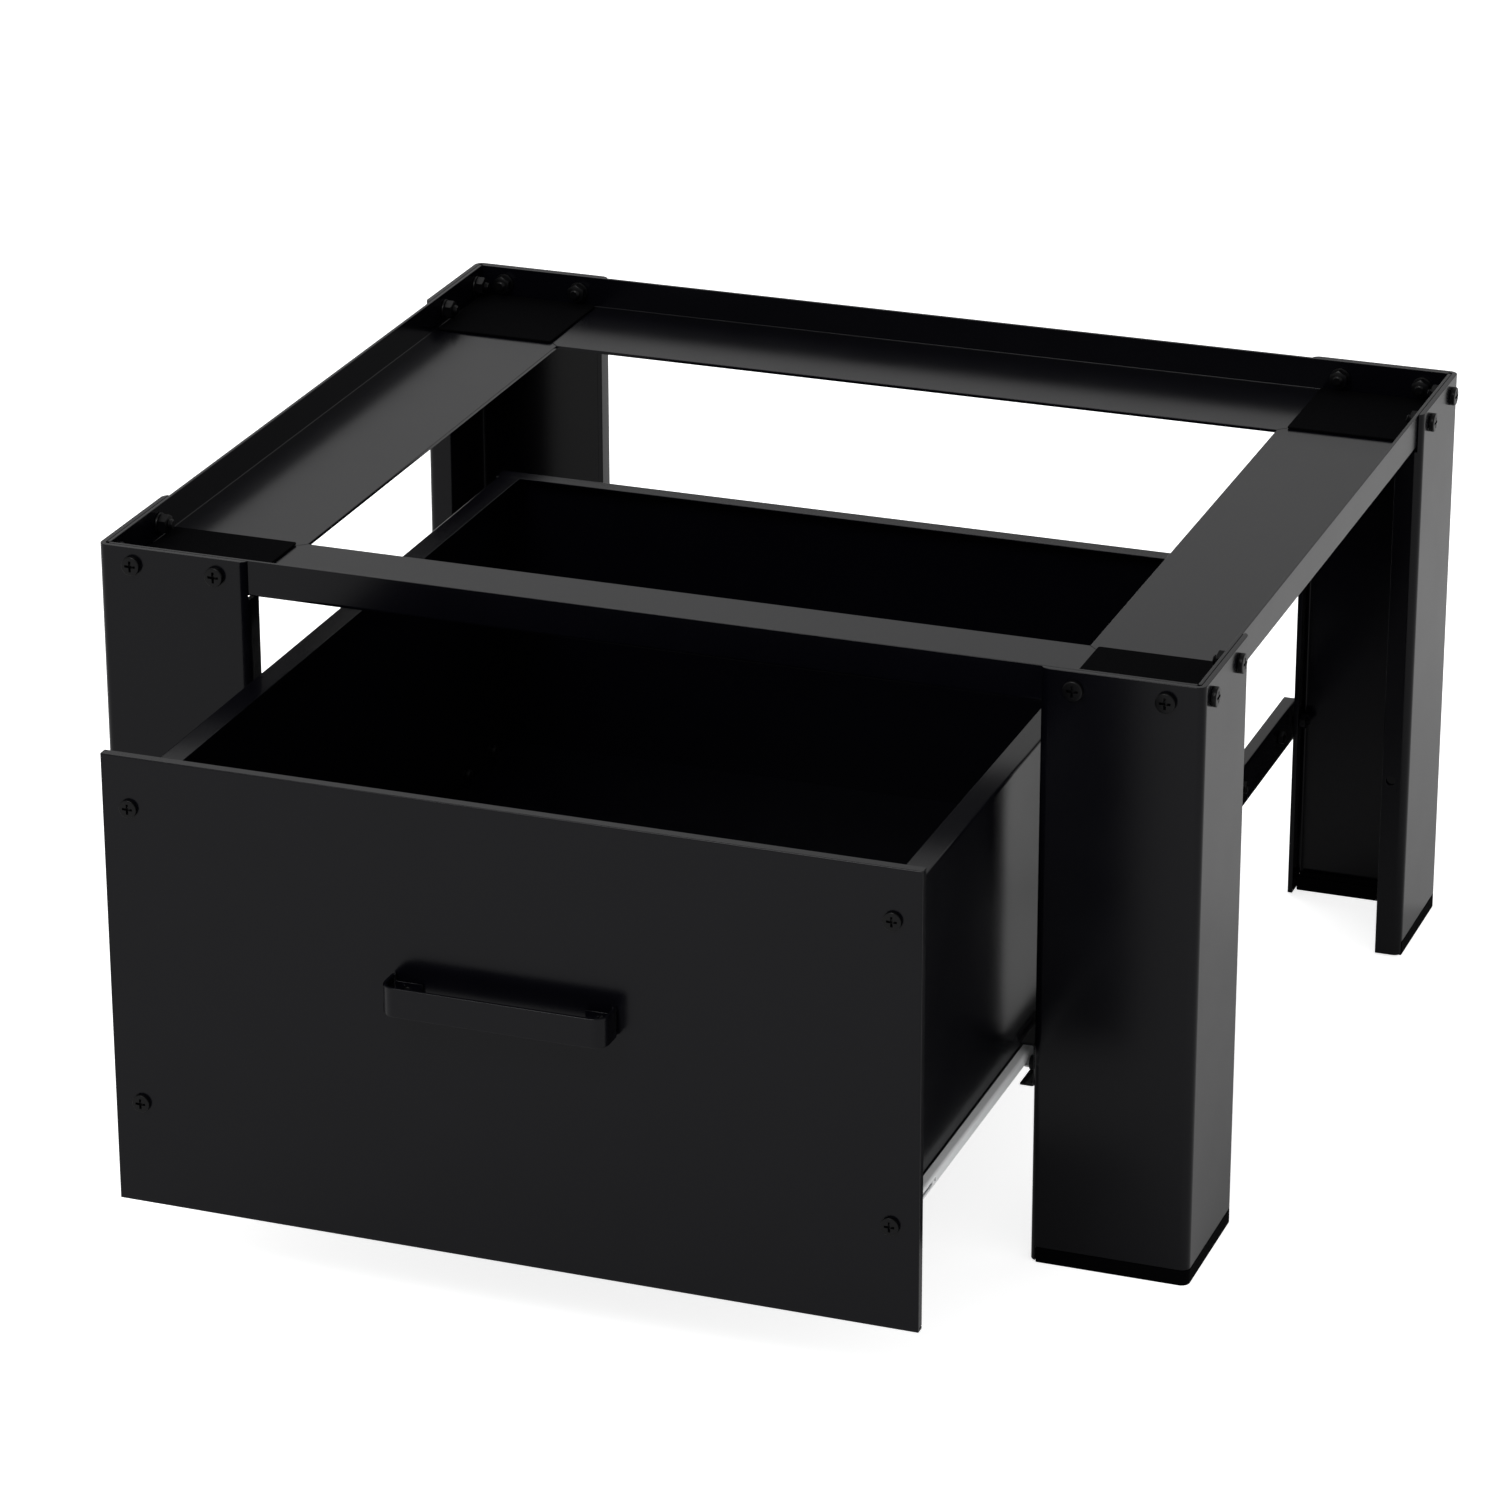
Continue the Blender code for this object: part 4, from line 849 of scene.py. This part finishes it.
def support(side):
    """Fold a slide support and drill it for its bolts and the runner's studs."""
    name = f"slide_support_{side}"
    low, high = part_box(name)
    mouth, face = reach(side, name)
    corners = channel(face, mouth, (low.z + high.z) / 2, (high.z - low.z) / 2,
                      SUPPORT_BEND, SUPPORT_SHEET)
    thing = fold(f"{name}_metal", "powder_coat", corners, SUPPORT_SHEET,
                 low.y, high.y, section(side))
    web = SIDES[side] * (face - SUPPORT_SHEET)
    bolts = [middle_of(f"support_bolt_{end}_{side}") for end in ENDS]
    holes = [(SUPPORT_BORE, middle.y, middle.z) for middle in bolts]
    holes += [(STUD_BORE, depth, runner_level(side)) for depth in stud_places(side)]
    cuts = bmesh.new()
    for bore, depth, level in holes:
        add_drill(cuts, bore, SUPPORT_SHEET, facing("X", (web, depth, level), SIDES[side]))
    combine(thing, cuts)
    settle(thing, "frame", (name,), edge=THIN_EDGE)


def runner_level(side):
    """Height of a slide's middle line."""
    low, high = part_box(f"slide_inner_{side}")
    return (low.z + high.z) / 2


def stud_places(side):
    """Where an outer runner's studs go through its support."""
    low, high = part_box(f"slide_outer_{side}")
    return [place for inset in STUD_INSETS for place in (low.y + inset, high.y - inset)]


def outer_runner(side):
    """Roll the fixed runner with its lips, and set its stop tab, studs and nuts."""
    name = f"slide_outer_{side}"
    low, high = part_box(name)
    mouth = reach(side, name)[0]
    face = mouth + OUTER_DEPTH
    web = face - RUNNER_SHEET
    level = runner_level(side)
    corners = channel(face, mouth, level, OUTER_HALF_HEIGHT, RUNNER_BEND, RUNNER_SHEET, OUTER_LIP)
    thing = fold(f"{name}_strip", "zinc_plate", corners, RUNNER_SHEET,
                 low.y, high.y, section(side))
    cuts = bmesh.new()
    for depth in stud_places(side):
        add_drill(cuts, STUD_BORE, RUNNER_SHEET,
                  facing("X", (SIDES[side] * web, depth, level), SIDES[side]))
    combine(thing, cuts)
    tab = bmesh.new()
    half = OUTER_HALF_HEIGHT - RUNNER_SHEET / 2
    outline = rectangle(mouth + RUNNER_SHEET / 2, level - half,
                        face - RUNNER_SHEET / 2, level + half)
    add_prism(tab, outline, high.y - 2 * STOP_TAB, high.y - STOP_TAB, section(side))
    combine(thing, tab, "UNION")
    settle(thing, "frame", (name,), edge=THIN_EDGE)

    support_face = reach(side, f"slide_support_{side}")[1]
    nut_seat = support_face + TOUCH - web
    studs = bmesh.new()
    for depth in stud_places(side):
        place = facing("X", (SIDES[side] * web, depth, level), -SIDES[side])
        add_pan_head(studs, *STUD_HEAD, place)
        add_thread(studs, STUD_RADIUS, STUD_PITCH, 0, -nut_seat - STUD_NUT[1] - STUD_TAIL, place)
        add_nut(studs, STUD_NUT[0], -nut_seat - STUD_NUT[1], -nut_seat, place)
    fixing = skin(f"{name}_studs", studs, "black_bolt")
    settle(fixing, "frame", edge=0)
    crisp(fixing)


def stop_block(side):
    """Mould the rubber block that the closing drawer meets."""
    name = f"slide_stop_{side}"
    low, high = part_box(name)
    bm = bmesh.new()
    add_prism(bm, rectangle(low.x, low.z, high.x, high.z), low.y, high.y, facing("Y"))
    thing = skin(f"{name}_rubber", bm, "pad_rubber")
    settle(thing, "frame", (name,), edge=STOP_EDGE)


def inner_runner(side):
    """Roll the drawer's runner, punch its slot and hole, and set its rivets flush in the web."""
    name = f"slide_inner_{side}"
    low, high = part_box(name)
    face = reach(side, name)[1]
    web, level = face - RUNNER_SHEET, runner_level(side)
    corners = channel(face, face - INNER_DEPTH, level, INNER_HALF_HEIGHT, RUNNER_BEND, RUNNER_SHEET)
    thing = fold(f"{name}_strip", "zinc_plate", corners, RUNNER_SHEET,
                 low.y, high.y, section(side))
    cuts = bmesh.new()
    sign = SIDES[side]
    add_drill(cuts, RUNNER_HOLE, RUNNER_SHEET,
              facing("X", (sign * web, low.y + RUNNER_HOLE_INSET, level), sign))
    long, tall, corner = RUNNER_SLOT[0] / 2, RUNNER_SLOT[1] / 2, RUNNER_SLOT[2]
    slot = rounded((
        (-long, -tall, corner), (long, -tall, corner), (long, tall, corner), (-long, tall, corner)))
    add_prism(cuts, slot, -OVER, RUNNER_SHEET + OVER,
              facing("X", (sign * web, low.y + RUNNER_SLOT_INSET, level), sign))
    combine(thing, cuts)
    settle(thing, "drawer", (name,), edge=THIN_EDGE)

    rivets = bmesh.new()
    seat = reach(side, f"drawer_side_{side}")[1] - BOX_SHEET - TOUCH
    shank_end = seat - web - RUNNER_SHEET / 2
    for depth in rivet_places(side):
        place = facing("X", (sign * seat, depth, level), -sign)
        add_pan_head(rivets, *RIVET_HEAD, place)
        add_turned(rivets, [(RIVET_RADIUS, OVER), (RIVET_RADIUS, shank_end)], place)
    fixing = skin(f"{name}_rivets", rivets, "black_bolt")
    settle(fixing, "drawer", edge=0)
    crisp(fixing)


def rivet_places(side):
    """Where an inner runner is riveted to the drawer wall."""
    low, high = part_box(f"slide_inner_{side}")
    return (low.y + RIVET_INSETS[0], high.y - RIVET_INSETS[1], high.y - RIVET_INSETS[2])


def ball_cage(side):
    """Press the cage's thin channel with a pocket at each ball, and set the balls in it."""
    name = f"ball_cage_{side}"
    low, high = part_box(name)
    mouth, face = reach(side, name)
    level = (low.z + high.z) / 2
    balls, pockets = bmesh.new(), bmesh.new()
    first = (low.y + high.y) / 2 - BALL_PITCH * (BALLS_IN_ROW - 1) / 2
    turns = [math.pi * (step + BALL_POLE) / (BALL_STEPS + 2 * BALL_POLE)
             for step in range(BALL_STEPS + 1)]
    profile = [(BALL_RADIUS * math.sin(turn), -BALL_RADIUS * math.cos(turn)) for turn in turns]
    pocket = BALL_RADIUS * POCKET_SHARE
    for index in range(BALLS_IN_ROW):
        for row in (-BALL_LEVEL, BALL_LEVEL):
            middle = (SIDES[side] * (mouth + BALL_INSET), first + BALL_PITCH * index, level + row)
            place = facing("Z", middle)
            add_turned(pockets, [(pocket, -OVER), (pocket, OVER)], place, SMALL_ROUND_STEPS)
            add_turned(balls, profile, place, SMALL_ROUND_STEPS)
    corners = channel(face, mouth, level, BALL_LEVEL + CAGE_SHEET / 2, CAGE_BEND, CAGE_SHEET)
    thing = fold(f"{name}_strip", "cage_steel", corners, CAGE_SHEET, low.y, high.y, section(side))
    combine(thing, pockets)
    settle(thing, f"{side}_ball_cage", (name,), edge=CAGE_EDGE)
    loose = skin(f"{name}_balls", balls, "cage_steel")
    settle(loose, f"{side}_ball_cage", edge=0)


def front_panel():
    """Fold the drawer front: a tray of sheet with slit corners and its bolt and screw holes."""
    name = "drawer_front_panel"
    low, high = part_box(name)
    depth = high.y - low.y
    place = facing("Y", (0, low.y, 0))

    def ring(inset, level):
        return [(*point, level) for point in rectangle(
            low.x + inset, low.z + inset, high.x - inset, high.z - inset)]

    turns = [math.pi / 2 * step / BEND_STEPS for step in range(BEND_STEPS + 1)]
    bend, inner, sheet = PANEL_BEND, PANEL_INNER_BEND, PANEL_SHEET
    rings = [ring(bend * (1 - math.sin(turn)), bend * (1 - math.cos(turn))) for turn in turns]
    rings += [ring(0, depth), ring(sheet, depth)]
    rings += [ring(sheet + inner * (1 - math.cos(turn)), sheet + inner * (1 - math.sin(turn)))
              for turn in turns]
    bm = bmesh.new()
    add_rings(bm, rings, place)
    thing = skin(f"{name}_metal", bm, "powder_coat")
    cuts = bmesh.new()
    for across in (low.x, high.x):
        for level in (low.z, high.z):
            turn = 1 if across < 0 else -1
            up = 1 if level == low.z else -1
            outline = [Vector((across + turn * a, level + up * b)) for a, b in (
                (-OVER, sheet), (sheet + OVER, sheet),
                (sheet + OVER, sheet + PANEL_SLIT), (-OVER, sheet + PANEL_SLIT))]
            add_prism(cuts, outline, sheet + PANEL_SLIT, depth + OVER, place)
    screws = [f"handle_screw_{side}" for side in SIDES]
    for node in fastened("panel_bolt", "lower", "upper") + screws:
        middle = middle_of(node)
        add_drill(cuts, PANEL_BORE, sheet, facing("Y", (middle.x, low.y, middle.z)))
    combine(thing, cuts)
    settle(thing, "drawer", (name,), edge=THIN_EDGE)


def fastened(kind, *heights):
    """Names of the left and right fasteners at the given heights."""
    return [f"{kind}_{height}_{side}" for height in heights for side in SIDES]


def handle():
    """Bend the handle from one strap, with lower tabs turned inwards against the panel."""
    name = "drawer_handle"
    low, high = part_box(name)
    half, sheet = high.x, HANDLE_SHEET
    front = high.y - low.y
    right = [(half - HANDLE_TAB, 0, 0), (half, 0, HANDLE_BACK_BEND),
             (half, front, HANDLE_FRONT_BEND)]
    left = [(-a, b, radius) for a, b, radius in reversed(right)]

    def place(across, out, height):
        return Vector((across, high.y - out, height))

    thing = fold(f"{name}_strap", "powder_coat", right + left, sheet, low.z, high.z, place)
    cuts = bmesh.new()
    over_tab = rectangle(half - HANDLE_TAB - OVER, high.z - HANDLE_TAB_DROP,
                         half - sheet - HANDLE_BACK_BEND, high.z + OVER)
    for side, sign in SIDES.items():
        middle = middle_of(f"handle_screw_{side}")
        add_drill(cuts, PANEL_BORE, sheet, facing("Y", (middle.x, high.y, middle.z), -1.0))
        add_prism(cuts, over_tab, -OVER, sheet + OVER, facing("Y", (0, high.y, 0), -1.0, sign))
    combine(thing, cuts)
    weigh_edges(thing.data, lambda spot: (
        high.y - spot.y > sheet + TOUCH or abs(spot.x) > half - sheet))
    ease(thing, HANDLE_EDGE).limit_method = "WEIGHT"
    settle(thing, "drawer", (name,), edge=0)


def box_side(side):
    """Fold a drawer side: a wall with flanges turned in at the top, foot, front and back."""
    name = f"drawer_side_{side}"
    low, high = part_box(name)
    half = reach(side, name)[1]
    sheet, wall = BOX_SHEET, half - BOX_SHEET
    top_edge, low_edge = half - SIDE_FLANGE, half - SIDE_LOWER_FLANGE
    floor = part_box("drawer_floor")[1].z
    corners = ((top_edge, high.z, 0), (half, high.z, BOX_BEND),
               (half, low.z, BOX_BEND), (low_edge, low.z, 0))
    thing = fold(f"{name}_metal", "powder_coat", corners, sheet, low.y, high.y, section(side))
    for start, edge in ((low.y, top_edge), (high.y - sheet, low_edge)):
        flange = bmesh.new()
        outline = rectangle(edge, floor + TOUCH, wall + sheet / 2, high.z - sheet / 2)
        add_prism(flange, outline, start, start + sheet, section(side))
        combine(thing, flange, "UNION")
    cuts = bmesh.new()
    outline = rectangle(low_edge - OVER, low.z - OVER, wall - BOX_BEND, floor - sheet)
    add_prism(cuts, outline, low.y - OVER, low.y + LOWER_FLANGE_SETBACK, section(side))
    outline = rectangle(top_edge - OVER, high.z - sheet - TOUCH, half + OVER, high.z + OVER)
    add_prism(cuts, outline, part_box("drawer_back")[0].y - TOUCH, high.y + OVER, section(side))
    for depth in rivet_places(side):
        add_drill(cuts, RIVET_BORE, sheet,
                  facing("X", (SIDES[side] * wall, depth, runner_level(side)), SIDES[side]))
    middle = middle_of(f"panel_bolt_upper_{side}")
    add_drill(cuts, PANEL_BORE, sheet, facing("Y", (middle.x, low.y, middle.z)))
    combine(thing, cuts)
    settle(thing, "drawer", (name,), edge=THIN_EDGE)


def add_weld_marks(cuts, places, axis, sign):
    """Add the shallow round dents that spot-welding tips leave."""
    profile = [(WELD_MARK, -OVER), (WELD_MARK, 0), (WELD_MARK * WELD_FLOOR_SHARE, WELD_DEPTH)]
    for place in places:
        add_turned(cuts, profile, facing(axis, place, sign), SMALL_ROUND_STEPS)


def box_back():
    """Fold the drawer back, with its spot-weld marks down both ends."""
    name = "drawer_back"
    low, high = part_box(name)
    corners = ((high.y, low.z, 0), (high.y, high.z, BOX_BEND), (low.y, high.z, 0))
    thing = fold(f"{name}_metal", "powder_coat", corners, BOX_SHEET, low.x, high.x, facing("X"))
    cuts = bmesh.new()
    for side, sign in SIDES.items():
        across = sign * (reach(side, f"drawer_side_{side}")[1] - SIDE_LOWER_FLANGE / 2)
        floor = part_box("drawer_floor")[1].z
        count = int((high.z - floor) / WELD_PITCH)
        levels = [floor + WELD_PITCH * (index + 0.5) for index in range(count)]
        add_weld_marks(cuts, [(across, high.y, level) for level in levels], "Y", -1.0)
    combine(thing, cuts)
    settle(thing, "drawer", (name,), edge=THIN_EDGE)


def box_floor():
    """Fold the drawer floor with its front lip, bolt holes and spot-weld marks."""
    name = "drawer_floor"
    low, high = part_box(name)
    corners = ((low.y, low.z, 0), (low.y, high.z, BOX_BEND), (high.y, high.z, 0))
    thing = fold(f"{name}_metal", "powder_coat", corners, BOX_SHEET, low.x, high.x, facing("X"))
    cuts = bmesh.new()
    for side, sign in SIDES.items():
        middle = middle_of(f"panel_bolt_lower_{side}")
        add_drill(cuts, PANEL_BORE, BOX_SHEET, facing("Y", (middle.x, low.y, middle.z)))
        across = sign * (reach(side, f"drawer_side_{side}")[1] - SIDE_LOWER_FLANGE / 2)
        count = int((high.y - low.y) / WELD_PITCH) - 1
        depths = [low.y + WELD_PITCH * (index + 1) for index in range(count)]
        add_weld_marks(cuts, [(across, depth, high.z) for depth in depths], "Z", -1.0)
    combine(thing, cuts)
    settle(thing, "drawer", (name,), edge=THIN_EDGE)


def fasteners():
    """Make each kind of fastener once and set it wherever its solids are."""
    frame_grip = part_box("rail_front")[0].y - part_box("leg_front_left")[0].y + RAIL_SHEET + 2 * TOUCH
    frame_bolt = bolt_mesh("frame_bolt", FRAME_BOLT, frame_grip, FRAME_TAIL, WASHER)
    for side, end in CORNERS:
        for number in END_BOLTS + SIDE_BOLTS:
            outward = (0, -ENDS[end], 0) if number in END_BOLTS else (SIDES[side], 0, 0)
            set_fastener(f"leg_bolt_{end}_{side}_{number}", frame_bolt, outward,
                         FRAME_BOLT["head"][1], "frame")
    support_grip = SUPPORT_SHEET + LEG_SHEET + 3 * TOUCH
    support_bolt = bolt_mesh("support_bolt", SUPPORT_BOLT, support_grip, SUPPORT_TAIL)
    for side, end in CORNERS:
        set_fastener(f"support_bolt_{end}_{side}", support_bolt, (-SIDES[side], 0, 0),
                     SUPPORT_BOLT["head"][1], "frame")
    panel_grip = PANEL_SHEET + BOX_SHEET + 3 * TOUCH
    panel_bolt = bolt_mesh("panel_bolt", PANEL_BOLT, panel_grip, PANEL_TAIL)
    for node in fastened("panel_bolt", "lower", "upper"):
        set_fastener(node, panel_bolt, (0, -1, 0), PANEL_BOLT["head"][1], "drawer")
    handle_grip = PANEL_SHEET + HANDLE_SHEET + 2 * TOUCH
    handle_screw = bolt_mesh("handle_screw", HANDLE_SCREW, handle_grip, 0)
    for side in SIDES:
        set_fastener(f"handle_screw_{side}", handle_screw, (0, 1, 0),
                     HANDLE_SCREW["head"][1], "drawer")


# Studio

def backdrop_rays(tree):
    """Share of the backdrop's glow that a ray sees: camera all, gloss and glass some, others none.

    Gloss keeps more of the floor's own shade, so that the steel mirrors the pedestal's shadow.
    """
    ray = add_node(tree, "ShaderNodeLightPath")
    mirrored = add_node(tree, "ShaderNodeMath", {"operation": "MAXIMUM"},
                        {0: ray.outputs["Is Glossy Ray"], 1: ray.outputs["Is Transmission Ray"]})
    mirrored = add_node(tree, "ShaderNodeMath", {"operation": "MULTIPLY", 1: GLOSS_SHARE},
                        {0: mirrored.outputs[0]})
    seen = add_node(tree, "ShaderNodeMath", {"operation": "MAXIMUM"},
                    {0: ray.outputs["Is Camera Ray"], 1: mirrored.outputs[0]})
    return seen.outputs[0]


def white_sheet():
    """Lay the pale studio floor, which keeps the pedestal's shadow."""
    bm = bmesh.new()
    half = FLOOR_SPAN / 2
    bm.faces.new([bm.verts.new((x, y, 0)) for x, y in (
        (-half, -half), (half, -half), (half, half), (-half, half))])
    mesh = bpy.data.meshes.new("studio_floor")
    bm.to_mesh(mesh)
    bm.free()
    material = bpy.data.materials.new("matt_white_backdrop_paper")
    material.use_nodes = True
    tree = material.node_tree
    shader = tree.nodes["Principled BSDF"]
    shader.inputs["Base Color"].default_value = linear("#f2f2f2")
    shader.inputs["Roughness"].default_value = 0.9
    shader.inputs["Specular IOR Level"].default_value = 0.0
    shader.inputs["Emission Color"].default_value = linear("#ffffff")
    glow = add_node(tree, "ShaderNodeMath", {"operation": "MULTIPLY", 1: FLOOR_GLOW},
                    {0: backdrop_rays(tree)})
    tree.links.new(glow.outputs[0], shader.inputs["Emission Strength"])
    mesh.materials.append(material)
    floor = add_object("studio_floor", mesh)


def studio_light():
    """Surround the pedestal with a white tent, dimmer than its backdrop, and set the softboxes."""
    world = bpy.data.worlds.new("white_tent")
    bpy.context.scene.world = world
    world.use_nodes = True
    tree = world.node_tree
    tree.nodes.clear()
    white = linear("#ffffff")
    tent = add_node(tree, "ShaderNodeBackground", {"Color": white, "Strength": TENT_STRENGTH})
    backdrop = add_node(tree, "ShaderNodeBackground", {"Color": white, "Strength": 1.0})
    mixed = add_node(tree, "ShaderNodeMixShader", links={
        0: backdrop_rays(tree), 1: tent.outputs[0], 2: backdrop.outputs[0]})
    add_node(tree, "ShaderNodeOutputWorld", links={"Surface": mixed.outputs[0]})
    for name, (place, target, span, power) in SOFTBOXES.items():
        lamp = bpy.data.lights.new(name, "AREA")
        lamp.shape = "SQUARE"
        lamp.size = span
        lamp.energy = power
        softbox = add_object(name, lamp)
        softbox.location = place
        aim = Vector(target) - Vector(place)
        softbox.rotation_euler = aim.to_track_quat("-Z", "Y").to_euler()


def camera():
    """Set up the photograph's camera."""
    across, drop = CAMERA_TURN, CAMERA_DROP
    look = Vector((-math.sin(across) * math.cos(drop), math.cos(across) * math.cos(drop),
                   -math.sin(drop)))
    lens = bpy.data.cameras.new("photo_camera")
    lens.lens = LENS
    lens.sensor_width = SENSOR_WIDTH
    lens.clip_end = FAR_CLIP
    eye = add_object("photo_camera", lens)
    eye.location = CAMERA_PLACE
    turn = look.to_track_quat("-Z", "Y")
    turn.rotate(Quaternion(look, CAMERA_ROLL))
    eye.rotation_euler = turn.to_euler()
    bpy.context.scene.camera = eye


def main():
    """Dress the pedestal, light it and aim the camera."""
    for side in SIDES:
        for end in ENDS:
            leg(side, end)
            foot(side, end)
            pad(side, end)
        support(side)
        outer_runner(side)
        stop_block(side)
        inner_runner(side)
        ball_cage(side)
        box_side(side)
    for name in (*ENDS, *SIDES):
        rail(name)
    front_panel()
    handle()
    box_back()
    box_floor()
    fasteners()
    white_sheet()
    studio_light()
    camera()
    bpy.context.scene.view_settings.view_transform = "Standard"


main()
